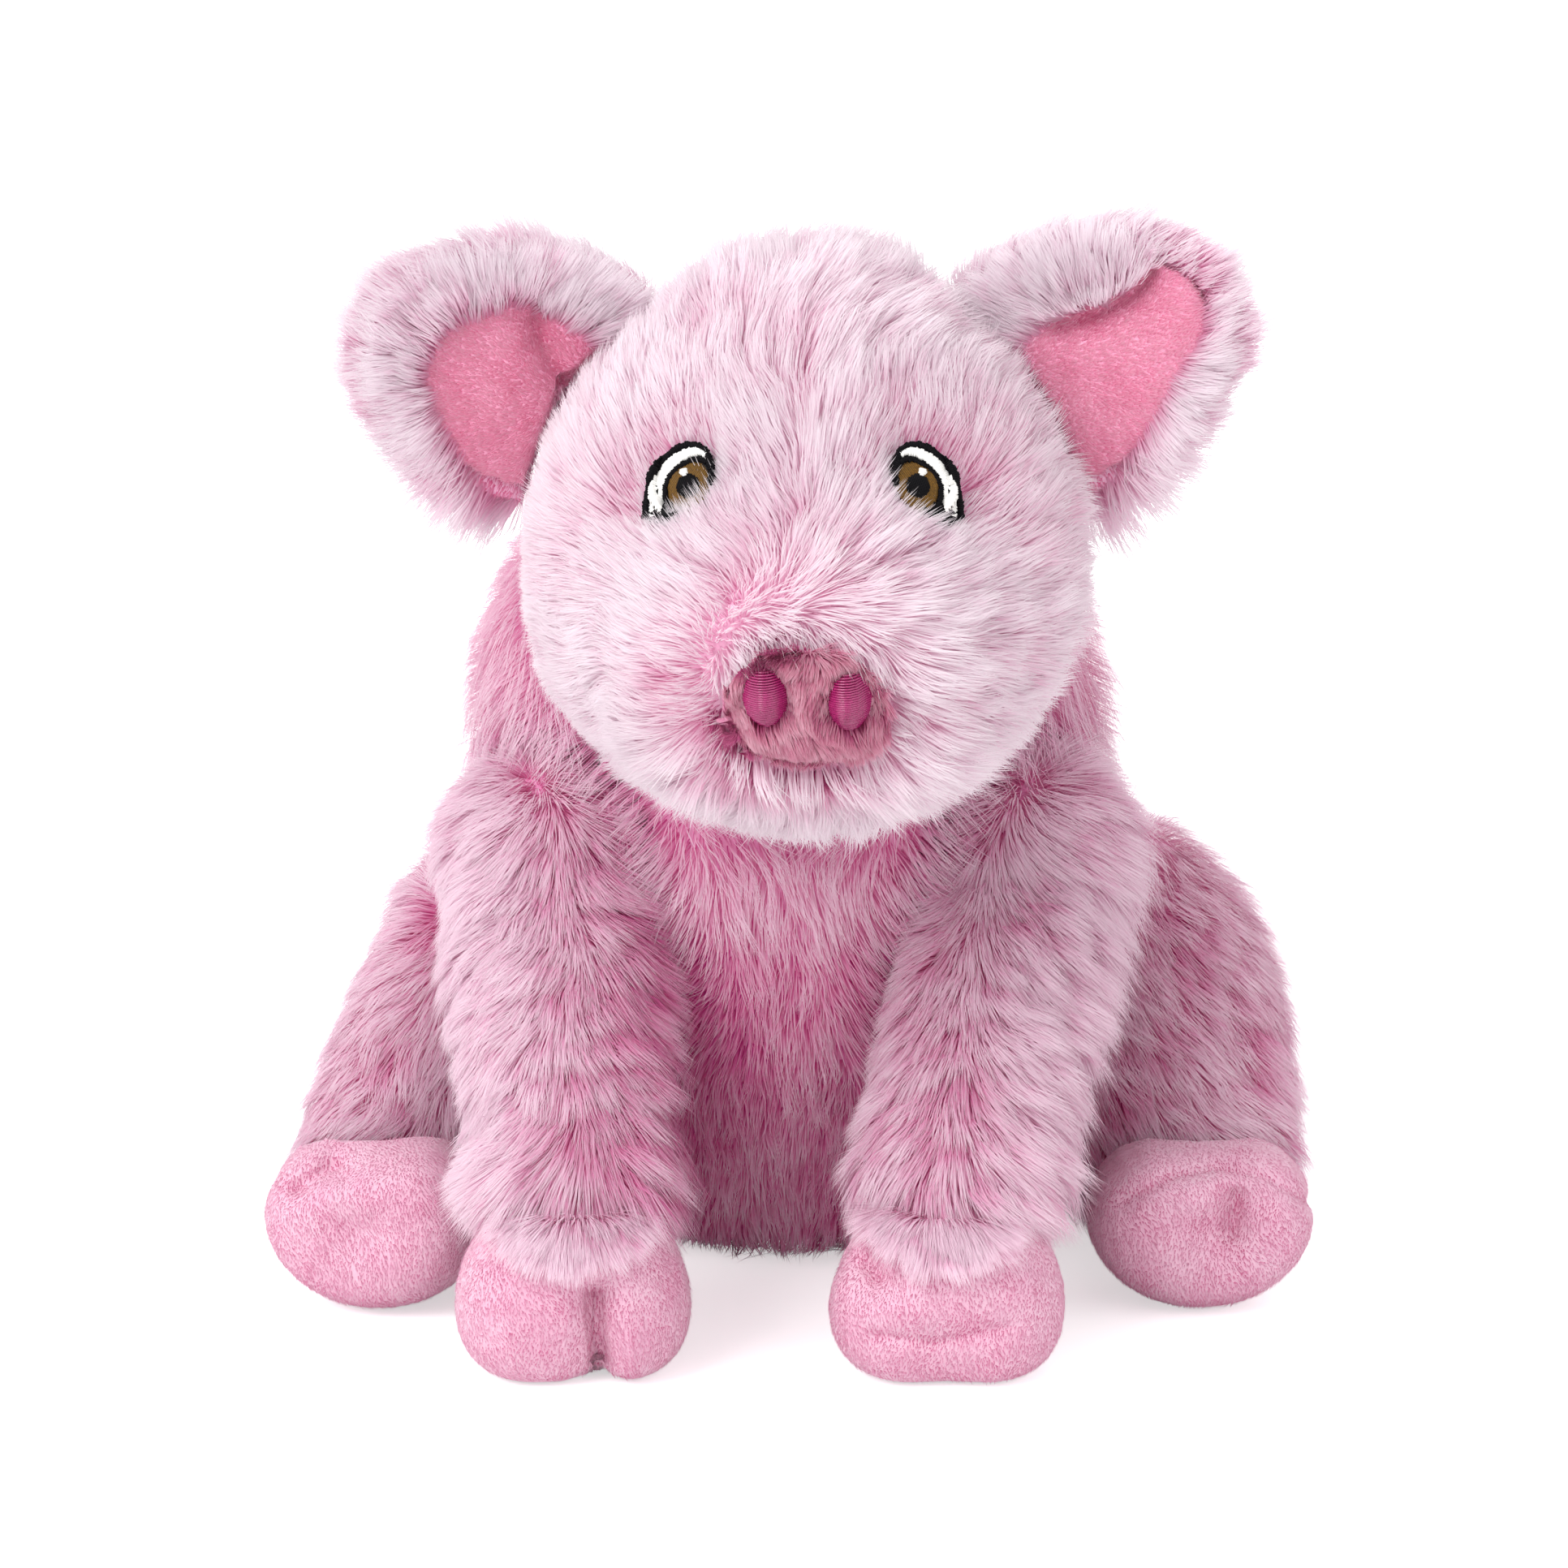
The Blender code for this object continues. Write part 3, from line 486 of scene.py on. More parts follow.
PILE_INPUTS = (
    ("Density", "Float", 2.0e6),
    ("Length", "Float", 0.011),
    ("Width", "Float", 0.0003),
    ("Lift", "Float", 0.45),
    ("Lay", "Float", 0.85),
    ("Lock Spacing", "Float", 0.008),
    ("Lock Pull", "Float", 0.08),
    ("Tuft Spacing", "Float", 0.0026),
    ("Tuft Pull", "Float", 0.21),
    ("Scatter", "Float", 0.17),
    ("Steps", "Int", 3),
    ("Seed", "Int", 1),
    ("Strands", "Material", None),
)


# How far chance turns, lengthens, lifts, bends and rolls a strand, alone or with its tuft or lock
LOCK_TURN, TUFT_TURN = 0.12, 0.11
LENGTH_MIDDLE, LENGTH_SPREAD, TUFT_LENGTH_SPREAD = 0.90, 0.16, 0.12
TUFT_LIFT_SPREAD = 0.14
TUFT_BEND = 0.16
STRAND_ROLL = 0.30
# How much slimmer its tip is, and how late along it the strand lies over and gathers to its tuft and lock
SLIMMING = 0.5
LAY_POWER, GATHER_POWER = 1.25, 1.5
GATHER_MIDDLE, GATHER_SPREAD = 0.75, 0.35
# How much paler or deeper than its neighbours a lock, a tuft and a strand may be
LOCK_TONE, TUFT_TONE, STRAND_TONE = 0.08, 0.17, 0.10


def pile_tree():
    """The tree that grows strands on a combed skin, each leaning along its way and to its lock's middle."""
    tree, given = node_group("pile", PILE_INPUTS)

    def read(name, kind="FLOAT"):
        return first(tree, "GeometryNodeInputNamedAttribute", {"Name": name}, {"data_type": kind})

    def store(shape, name, value, kind="FLOAT", domain="POINT"):
        links = {"Geometry": shape, "Name": name, "Value": value}
        return first(tree, "GeometryNodeStoreNamedAttribute", links, {"data_type": kind, "domain": domain})

    def sums(operation, *values):
        return maths(tree, operation, *values)

    def product(*values):
        return functools.reduce(lambda total, value: maths(tree, "MULTIPLY", total, value), values)

    def parts(arrow):
        return add_node(tree, "ShaderNodeSeparateXYZ", links={0: arrow}).outputs

    def arrows(operation, *values, scale=None):
        links = dict(enumerate(values)) | ({} if scale is None else {"Scale": scale})
        node = add_node(tree, "ShaderNodeVectorMath", {"operation": operation}, links)
        return node.outputs["Value" if operation in ("DOT_PRODUCT", "LENGTH") else "Vector"]

    def moved(start, arrow, amount):
        return arrows("ADD", start, arrows("SCALE", arrow, scale=amount))

    def chance(kind, seed):
        low, high = ((-1, -1, -1), (1, 1, 1)) if kind == "FLOAT_VECTOR" else (0, 1)
        node = add_node(tree, "FunctionNodeRandomValue", {"data_type": kind}, {"Seed": seed})
        sockets = [socket for socket in node.inputs if socket.enabled and socket.name in ("Min", "Max")]
        sockets[0].default_value = low
        sockets[1].default_value = high
        return next(socket for socket in node.outputs if socket.enabled)

    # One strand, flat and a unit long: a strip whose far end comes to a point
    size = {"Size X": 1, "Size Y": 1, "Vertices X": 2, "Vertices Y": given["Steps"]}
    strip = add_node(tree, "GeometryNodeMeshGrid", links=size).outputs["Mesh"]
    position = add_node(tree, "GeometryNodeInputPosition").outputs[0]
    strand = store(strip, "along", sums("ADD", parts(position)["Y"], 0.5))
    strand = store(strand, "across", parts(position)["X"])
    at_tip = sums("GREATER_THAN", read("along"), 0.99)
    tip = first(tree, "ShaderNodeCombineXYZ", {"X": 0, "Y": 0.5, "Z": 0})
    ends = {"Geometry": strand, "Selection": at_tip, "Position": tip}
    strand = first(tree, "GeometryNodeSetPosition", ends)
    strand = first(tree, "GeometryNodeMergeByDistance", {"Geometry": strand, "Distance": 0.001})

    # Where strands and locks are rooted
    density = product(given["Density"], read("cover"))
    roots = add_node(
        tree,
        "GeometryNodeDistributePointsOnFaces",
        {"distribute_method": "RANDOM"},
        {"Mesh": given["Geometry"], "Density": density, "Seed": given["Seed"]},
    )
    points = store(roots.outputs["Points"], "root", position, "FLOAT_VECTOR")
    points = store(points, "up", roots.outputs["Normal"], "FLOAT_VECTOR")
    points = store(points, "stray", chance("FLOAT_VECTOR", 3), "FLOAT_VECTOR")
    for label, spacing, seed in (("lock", "Lock Spacing", 7), ("tuft", "Tuft Spacing", 9)):
        middles = add_node(
            tree,
            "GeometryNodeDistributePointsOnFaces",
            {"distribute_method": "POISSON"},
            {"Mesh": given["Geometry"], "Distance Min": given[spacing], "Density Max": 400000.0, "Seed": seed},
        ).outputs["Points"]
        links = {"Geometry": middles, "Sample Position": position}
        nearest = first(tree, "GeometryNodeSampleNearest", links, {"domain": "POINT"})
        for part, value in (("root", position), ("stray", chance("FLOAT_VECTOR", seed + 1))):
            links = {"Geometry": middles, "Value": value, "Index": nearest}
            taken = first(tree, "GeometryNodeSampleIndex", links, {"data_type": "FLOAT_VECTOR", "domain": "POINT"})
            points = store(points, f"{label}_{part}", taken, "FLOAT_VECTOR")
    grown = first(tree, "GeometryNodeInstanceOnPoints", {"Points": points, "Instance": strand})
    grown = first(tree, "GeometryNodeRealizeInstances", {"Geometry": grown})

    # Each strand rises from its root, bends over along its way and leans to its lock
    t = read("along")
    up = read("up", "FLOAT_VECTOR")
    stray = read("stray", "FLOAT_VECTOR")
    lock_stray = read("lock_stray", "FLOAT_VECTOR")
    tuft_stray = read("tuft_stray", "FLOAT_VECTOR")
    root = read("root", "FLOAT_VECTOR")
    lean = arrows("SCALE", stray, scale=given["Scatter"])
    lean = moved(lean, lock_stray, LOCK_TURN)
    lean = moved(lean, tuft_stray, product(TUFT_TURN, read("gather")))
    way = arrows("NORMALIZE", arrows("ADD", read("way", "FLOAT_VECTOR"), lean))
    uneven, lock_uneven, tuft_uneven = (parts(each) for each in (stray, lock_stray, tuft_stray))
    length = product(given["Length"], read("pile"), sums("MULTIPLY_ADD", uneven["X"], LENGTH_SPREAD, LENGTH_MIDDLE))
    length = product(length, sums("MULTIPLY_ADD", tuft_uneven["X"], TUFT_LENGTH_SPREAD, 1.0))
    lift = product(given["Lift"], read("stand"), sums("MULTIPLY_ADD", tuft_uneven["Z"], TUFT_LIFT_SPREAD, 1.0))
    risen = product(product(t, sums("SUBTRACT", 2.0, t)), product(length, lift))
    flow = arrows("LENGTH", read("way", "FLOAT_VECTOR"))
    run = product(sums("POWER", t, LAY_POWER), product(length, flow, given["Lay"]))
    middle = moved(moved(root, up, risen), way, run)
    gather = sums("MULTIPLY_ADD", uneven["Z"], GATHER_SPREAD, GATHER_MIDDLE)
    gather = product(sums("POWER", t, GATHER_POWER), gather, read("gather"))
    for label, pull in (("lock_root", "Lock Pull"), ("tuft_root", "Tuft Pull")):
        gap = arrows("SUBTRACT", read(label, "FLOAT_VECTOR"), root)
        middle = moved(middle, gap, product(gather, given[pull]))
    side = arrows("NORMALIZE", arrows("CROSS_PRODUCT", way, moved(up, stray, STRAND_ROLL)))
    slim = sums("SUBTRACT", 1.0, product(t, t, SLIMMING))
    middle = moved(middle, side, product(read("across"), given["Width"], slim))
    bend = product(product(t, t), product(length, product(tuft_uneven["Y"], TUFT_BEND)))
    middle = moved(middle, side, bend)
    floor = first(tree, "ShaderNodeCombineXYZ", {"X": -9.0, "Y": -9.0, "Z": LOWEST_STRAND})
    middle = arrows("MAXIMUM", middle, floor)
    grown = first(tree, "GeometryNodeSetPosition", {"Geometry": grown, "Position": middle})

    # The map: strands side by side by their tone, each from root to tip
    tone = sums("MULTIPLY_ADD", lock_uneven["Y"], LOCK_TONE, read("pale"))
    tone = sums("MULTIPLY_ADD", tuft_uneven["Z"], TUFT_TONE, tone)
    tone = sums("MULTIPLY_ADD", uneven["Y"], STRAND_TONE, tone)
    tone = first(tree, "ShaderNodeClamp", {"Value": tone, "Min": 0.02, "Max": 0.98})
    tone = sums("MULTIPLY_ADD", read("across"), TONE_STRIP_SHARE, tone)
    place = first(tree, "ShaderNodeCombineXYZ", {"X": tone, "Y": t})
    grown = store(grown, "OFBake", place, "FLOAT2", "CORNER")
    of_strand = ("root", "up", "stray", "lock_root", "lock_stray", "tuft_root", "tuft_stray", "along", "across")
    for name in (*of_strand, *COMBED):
        grown = first(tree, "GeometryNodeRemoveAttribute", {"Geometry": grown, "Name": name})
    return leave_tree(tree, grown, given["Strands"])


PILE_TREE = pile_tree()


def grow(name, skin, material, **sizes):
    """Strands on the skin as a plain mesh of their own."""
    values = {key.replace("_", " ").title(): value for key, value in sizes.items()}
    bare = show(bpy.data.objects.new(name, skin.data.copy()))
    made = run_tree(bare, PILE_TREE, values | {"Strands": material})
    for layer in list(made.data.uv_layers):
        if layer.name != "OFBake":
            made.data.uv_layers.remove(layer)
    made.data.uv_layers.active = made.data.uv_layers["OFBake"]
    return made


def wear(piece, body, replaced=()):
    """Fixes the piece to its body and hides the solids it stands for."""
    if replaced:
        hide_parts(*replaced)
    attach(piece, body)


def metres(name, description, default):
    return FloatProperty(name=name, description=description, default=default, unit="LENGTH", subtype="DISTANCE")


class PigPile(bpy.types.PropertyGroup):
    length: metres("Pile length", "Length of a strand of the long pile", 0.0115)
    width: metres("Strand width", "Width of a strand at its root", 0.00025)
    spacing: metres("Tuft spacing", "Distance between the middles of two tufts", 0.0026)
    depth: metres("Pile depth", "How far the backing lies under the middle of the pile", 0.0035)
    most: IntProperty(name="Most strands", description="Strands on one layer of pile", default=54000)


def strands_for(skin, most):
    """The density, in strands for each square metre, at which the combed skin carries this many."""
    mesh = skin.data
    cover = np.empty(len(mesh.vertices))
    mesh.attributes["cover"].data.foreach_get("value", cover)
    total = 0
    for face in mesh.polygons:
        total += face.area * cover[list(face.vertices)].mean()
    return most / total


def dress(skin, body, slot, replaced, layers, fill, most=None, strands="pile", **sizes):
    """The skin with its layers of long pile, fixed to the body."""
    pile = bpy.context.scene.pig_pile
    for number in range(layers):
        name = f"{skin.name.replace('_cloth', '')}_pile" + (f"_{number + 1}" if layers > 1 else "")
        values = {
            "density": strands_for(skin, most or pile.most),
            "length": pile.length,
            "width": pile.width,
            "tuft_spacing": pile.spacing,
            "seed": 11 + number,
        } | sizes
        wear(grow(name, skin, MATERIALS[strands], **values), body)
    wear(skin, body, replaced)


# The sizes that every short plush has, unless its own are given
SHORT_NAP = {"width": 0.00022, "lock_spacing": 0.004, "lock_pull": 0.05, "tuft_pull": 0.05, "lift": 0.4, "steps": 2}


def dress_short(name, skin, body, slot, material, most, **sizes):
    """Short plush on the combed skin, fixed to the body."""
    values = {"density": strands_for(skin, most)} | SHORT_NAP | sizes
    wear(grow(name, skin, MATERIALS[material], **values), body)


def facing_of(node):
    """Middle and outward direction of a stitched field's face, from its solid."""
    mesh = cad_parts[node].data
    total = Vector()
    middle = Vector()
    area = 0
    for face in mesh.polygons:
        if face.normal.y < -0.6:
            total += face.normal * face.area
            middle += face.center * face.area
            area += face.area
    return middle / area, total.normalized()


EYES = {side: facing_of(f"eye_outline_{side}") for side in SIDES}
SNOUT_LOW, SNOUT_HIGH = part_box("snout_panel")
SNOUT_MIDDLE = (SNOUT_LOW + SNOUT_HIGH) / 2

# Half the width and height of the oval round the snout that the head's pile spreads from
SNOUT_HALVES = (0.0152, 0.0116)

# A deeper patch on the cheek beside the snout, in the photograph's pixels
CHEEK_SPOT = ((826, 846), (846, 836))

# The heights at which the pile changes, from the skirt over the seat up to the crown
SKIRT_HEIGHT = 0.018
BELLY_FOOT = 0.034
LEG_HEM_HEIGHT = 0.040
ELBOW_HEIGHT = 0.055
BELLY_TOP = 0.086
UPPER_BACK = 0.11
SHOULDER_HEIGHT = 0.118
BROW_HEIGHT = 0.165
CROWN_HEIGHT = 0.197

# Painted shade: how much deeper in colour the pile is painted where its surroundings hide it from the light
FOLD_SHADE = 0.50

# Each front leg's pile parts along a line down its front: the line's sideways place at its top and its foot
LEG_PARTING = {"left": (0.038, 0.026), "right": (-0.044, -0.034)}

# Outline of each ear's bare lining in the photograph: the pile covers the rest of its face
LINING_OUTLINES = {
    "right": ((527, 461), (550, 414), (586, 396), (625, 382), (659, 383), (700, 405), (734, 433), (720, 480),
              (706, 517), (669, 599), (647, 660), (608, 615), (575, 572), (545, 520)),
    "left": ((1262, 430), (1303, 392), (1330, 384), (1360, 377), (1390, 356), (1414, 320), (1450, 332), (1483, 362),
             (1480, 410), (1462, 440), (1444, 467), (1425, 503), (1408, 536), (1382, 570), (1345, 610), (1300, 560)),
}

# The fold in each ear's lining, drawn in and painted with shade, in the photograph's pixels
EAR_FOLDS = {
    "right": ((664, 396), (667, 424), (684, 452), (704, 484)),
    "left": ((1302, 402), (1344, 393), (1392, 364), (1416, 338)),
}

# Where stitches and seams draw the hooves in, and shade is painted along them, in the photograph's pixels, with
# depth in metres and width in pixels
HOOF_SEAMS = {
    "front_hoof_right": ((((731, 1598), (733, 1625), (736, 1650), (738, 1680), (738, 1692)), 0.0072, 8),),
    "front_hoof_left": (
        (((1066, 1552), (1078, 1572)), 0.0055, 11),
        (((1076, 1646), (1150, 1655), (1240, 1636)), 0.0016, 6),
    ),
    "hind_hoof_right": ((((362, 1462), (380, 1450), (398, 1440), (412, 1434)), 0.0042, 8),),
    "hind_hoof_left": (
        (((1522, 1474), (1520, 1496), (1516, 1518)), 0.0050, 9),
        (((1388, 1478), (1445, 1448), (1502, 1437), (1560, 1449), (1612, 1480)), 0.0014, 5),
    ),
}

# How high the front legs' pile ends over their hooves, and how much lower in the middle of the front
HEM_HEIGHT = 0.0335
HEM_DIP = 0.0055

# The hollow above the snout, where shade is painted, and the seam under it, which reads as the mouth and is painted
# deeper partly as shade, in the photograph's pixels
HOLLOW = ((930, 816), (948, 804), (972, 799))
MOUTH = ((883, 880), (892, 908), (912, 940), (941, 952), (990, 956), (1036, 955))
SNOUT_SPOT = np.array((984, 880))

# The stitched fields of an eye, in millimetres from its middle: towards the snout, and up
EYE_BORDER = ((-5.2, -7.7), (-5.5, -4.1), (-4.9, -0.5), (-3.5, 2.7), (-1.2, 5.2), (1.6, 6.2), (3.9, 5.5), (5.5, 3.8),
              (6.3, 1.6), (6.3, -1.1))
EYE_WHITE = ((-2.9, -7.2), (-3.5, -4.1), (-2.9, -0.2), (-1.3, 2.6), (1.0, 4.4), (3.2, 5.0), (4.7, 4.4))
EYE_RING = ((-0.4, -6.2), (-1.9, -3.6), (-1.9, -1.4), (-0.7, 1.1), (1.4, 2.9), (3.7, 3.4), (5.5, 2.9), (6.2, 1.8))
EYE_PAD = ((-5.6, -7.9), (-5.8, -4.0), (-5.3, -0.3), (-3.8, 3.0), (-1.4, 5.6), (1.5, 6.7), (4.0, 5.9), (5.7, 4.1),
           (6.6, 1.6), (6.6, -1.4), (5.9, -3.5), (3.4, -5.8), (0.0, -8.1), (-2.9, -8.6))
IRIS = ((2.4, -1.6), (3.9, 4.7))
PUPIL = ((2.5, -1.7), (2.2, 2.6))
GLINT = ((1.2, 0.8), (0.72, 0.70))
NOSTRIL_HALVES = (3.8, 5.1)
NOSTRIL_SHIFTS = {"left": (0.6, -1.1), "right": (1.0, -0.2)}
NOSTRIL_RISE = 0.0030
THREAD_WIDTH = 0.00042
THREAD_SPACING = 0.00034
MILLIMETRE = 0.001


def thread_tree():
    """The node tree that turns runs of edges into round threads."""
    tree, given = node_group("thread", (("Width", "Float", None), ("Thread", "Material", None)))
    half = maths(tree, "DIVIDE", given["Width"], 2.0)
    ring = first(tree, "GeometryNodeCurvePrimitiveCircle", {"Resolution": 6, "Radius": half})
    run = first(tree, "GeometryNodeMeshToCurve", {0: given["Geometry"]})
    shape = {"Curve": run, "Profile Curve": ring, "Fill Caps": True}
    tube = first(tree, "GeometryNodeCurveToMesh", shape)
    tube = first(tree, "GeometryNodeRealizeInstances", {"Geometry": tube})
    return leave_tree(tree, tube, given["Thread"])


THREAD_TREE = thread_tree()


def lay_threads(name, stitches, material, width=THREAD_WIDTH):
    """Satin stitches as one piece, each a short run of thread over its ground."""
    points, edges = [], []
    for stitch in stitches:
        base = len(points)
        points += [tuple(place) for place in stitch]
        edges += [(base + step, base + step + 1) for step in range(len(stitch) - 1)]
    mesh = bpy.data.meshes.new(name)
    mesh.from_pydata(points, edges, [])
    return run_tree(show(bpy.data.objects.new(name, mesh)), THREAD_TREE, {"Width": width, "Thread": material})


def over(names, middle, facing, turn=1):
    """Gives the function that puts a spot of a patch, in millimetres across and up, on these solids."""
    ground = node_bvh(names)
    across = UP.cross(facing).normalized() * turn
    high = (facing.cross(UP.cross(facing))).normalized()

    def place(a, b, lift=0.0):
        start = middle + across * (a * MILLIMETRE) + high * (b * MILLIMETRE)
        hit = ground.ray_cast(start + facing * 0.02, -facing)[0] or start
        return hit + facing * lift

    return place


def fine_path(path, spacing):
    """The path rounded off, in even steps of this many millimetres, with its sideways directions."""
    path = np.array(path, float)
    for _ in range(3):
        quarter = path[:-1] * 0.75 + path[1:] * 0.25
        later = path[:-1] * 0.25 + path[1:] * 0.75
        path = np.vstack((path[:1], np.stack((quarter, later), axis=1).reshape(-1, 2), path[-1:]))
    reach = np.concatenate(((0,), np.cumsum(np.linalg.norm(np.diff(path, axis=0), axis=1))))
    steps = np.linspace(0, reach[-1], max(3, int(reach[-1] / spacing)))
    even = np.stack([np.interp(steps, reach, path[:, axis]) for axis in (0, 1)], axis=1)
    along = np.gradient(even, axis=0)
    along /= np.linalg.norm(along, axis=1, keepdims=True)
    return even, np.stack((-along[:, 1], along[:, 0]), axis=1), steps / reach[-1]


def run_of_thread(place, start, end, base, crown, dome=None):
    """One stitch from spot to spot, arched over its ground, its ends sunk into it."""
    run = []
    for share in (0, 0.12, 0.31, 0.5, 0.69, 0.88, 1):
        a, b = start + (end - start) * share
        raised = 0.0 if dome is None else dome(a, b)
        arch = -0.00018 if share in (0, 1) else base + crown * math.sin(math.pi * share)
        run.append(place(a, b, arch + raised))
    return run


def satin_band(place, path, widths, seed, base, spacing=THREAD_SPACING):
    """Stitches side by side across a path; widths are in millimetres at its start, middle and end."""
    dice = np.random.default_rng(seed)
    spots, sides, shares = fine_path(path, spacing / MILLIMETRE)
    stitches = []
    for spot, side, share in zip(spots, sides, shares):
        half = np.interp(share, (0, 0.6, 1), widths) / 2
        near, far = half + dice.uniform(-0.17, 0.17, 2)
        stitches.append(run_of_thread(place, spot - side * near, spot + side * far, base, 0.00012))
    return stitches


def satin_field(place, field, angle, seed, base, dome=None, spacing=THREAD_SPACING):
    """Stitches side by side across an oval, at this angle in degrees."""
    dice = np.random.default_rng(seed)
    middle, halves = np.array(field[0]), np.array(field[1])
    heading = np.array((math.cos(math.radians(angle)), math.sin(math.radians(angle))))
    cross = np.array((-heading[1], heading[0]))
    reach = np.hypot(*(cross * halves))
    stitches = []
    for offset in np.arange(-reach + 0.06, reach, spacing / MILLIMETRE):
        spot = cross * offset
        square = np.sum((heading / halves) ** 2)
        half_mix = np.sum(heading * spot / halves**2)
        root = half_mix**2 - square * (np.sum((spot / halves) ** 2) - 1)
        if root <= 0.0004:
            continue
        ends = [(-half_mix + sign * math.sqrt(root)) / square + dice.uniform(-0.1, 0.1) for sign in (-1, 1)]
        start, end = (middle + spot + heading * end for end in ends)
        stitches.append(run_of_thread(place, start, end, base, 0.00010, dome))
    return stitches


def pad(name, place, outline, material, dome=None):
    """A low closed cushion that stitches stand on."""
    outline = np.array(outline, float)
    middle = outline.mean(axis=0)
    shares = (0.25, 0.5, 0.75, 0.92, 1.0)
    count = len(outline)

    def spot(a, b, lift=0.0):
        return tuple(place(a, b, lift + (dome(a, b) if dome else 0.0)))

    points = [spot(*middle)]
    for share in shares:
        points += [spot(*(middle + (edge - middle) * share), -0.0003 if share == 1 else 0.0) for edge in outline]
    points += [tuple(place(*edge, -0.0045)) for edge in outline]
    faces = [(0, 1 + step, 1 + (step + 1) % count) for step in range(count)]
    for ring in range(len(shares)):
        low, high = 1 + ring * count, 1 + (ring + 1) * count
        for step in range(count):
            after = (step + 1) % count
            faces.append((low + step, high + step, high + after, low + after))
    faces.append(tuple(reversed(range(1 + len(shares) * count, 1 + (len(shares) + 1) * count))))
    mesh = bpy.data.meshes.new(name)
    mesh.from_pydata(points, [], faces)
    shape = bmesh.new()
    shape.from_mesh(mesh)
    bmesh.ops.recalc_face_normals(shape, faces=shape.faces)
    shape.to_mesh(mesh)
    shape.free()
    mesh.materials.append(material)
    mesh.shade_smooth()
    return show(bpy.data.objects.new(name, mesh))


def oval(field, count=28):
    (a, b), (half_a, half_b) = field
    turns = [2 * math.pi * step / count for step in range(count)]
    return [(a + half_a * math.cos(turn), b + half_b * math.sin(turn)) for turn in turns]


class PIG_OT_torso(bpy.types.Operator):
    """Dresses the torso: the pile falls from the nape and shoulders to the seat"""

    bl_idname = "pig.torso"
    bl_label = "Torso"

    def execute(self, context):
        pile = context.scene.pig_pile
        skin = rounded("torso_cloth", "torso", MATERIALS["backing"], voxel=0.0026, smoothing=10, inset=pile.depth)
        places, ups = surface_of(skin)
        legs = [f"{end}_leg_{side}" for end in ("front", "hind") for side in SIDES]
        lean, near = toward(places, ups, ["head", *legs])
        way = flat(np.array([0.0, 0.12, -1.0]) + drift(places, 0.045, 51) * 0.22 + lean * 2.2, ups)
        cover = cover_of(places, ups, ["torso"])
        cover[places[:, 2] < TORSO_CLEARANCE] = 0
        belly = (ups[:, 1] < 0) * fall(places[:, 2], BELLY_TOP, 0.012)
        shoulder = bell(places[:, 2] - SHOULDER_HEIGHT, 0.018) * (np.abs(ups[:, 0]) > 0.5)
        # Painted shade: the pile is painted deeper in folds and on the belly, more so at its foot, where it lies in
        # shade under the head and between the legs
        pale = 0.96 - 0.22 * belly + drift(places, 0.028, 52)[:, 0] * 0.10 - FOLD_SHADE * shaded(places, ups)
        pale -= 0.20 * belly * fall(places[:, 2], BELLY_FOOT, 0.02)
        pale += 0.25 * np.clip(ups[:, 1] / 0.3, 0, 1) + 0.28 * rise(places[:, 2], UPPER_BACK, 0.02)
        skirt = fall(places[:, 2], SKIRT_HEIGHT, 0.012) * (ups[:, 1] > -0.2)
        stand = 1.0 + 0.3 * shoulder + 0.6 * near + 0.8 * skirt
        length = 1.0 - 0.25 * belly + 0.15 * shoulder + 0.2 * near + 0.25 * skirt
        comb(skin, way, length, cover, pale, stand, gather=1.0 - 0.35 * shoulder)
        dress(skin, "torso", "pink_pile", ["torso"], layers=2, fill=0.7)
        return {"FINISHED"}


def grow_seam_and_shade_nap(name, skin, places, ups, spots, path):
    """Short deep-pink nap along the mouth's seam, its colour partly the seam's and partly painted shade, and in the
    hollow over the snout as painted shade.
    """
    hollow = fall(off_path(spots, HOLLOW), 18, 12)
    near = np.maximum(fall(off_path(spots, path), 7, 2), 0.35 * hollow)
    near *= faces_camera(ups) * (places[:, 1] < SNOUT_MIDDLE.y + 0.010)
    comb(skin, flat(DOWN, ups) * 0.6, cover=near)
    dress_short(
        f"{name}_seam_nap", skin, "head", "rose_short_plush", "seam_nap", 2500, length=0.0032, width=0.00028,
        lock_spacing=0.008, lock_pull=0.0, tuft_pull=0.1, lift=0.85, seed=45,
    )


def eye_spots(side, places):
    """Places near an eye in millimetres: towards the snout and up from its middle, and in front of it."""
    middle, facing = EYES[side]
    across = np.array(UP.cross(facing).normalized()) * -SIDES[side]
    high = np.array(facing.cross(UP.cross(facing)).normalized())
    gap = (places - np.array(middle)) / MILLIMETRE
    return np.stack((gap @ across, gap @ high), axis=1), gap @ np.array(facing)


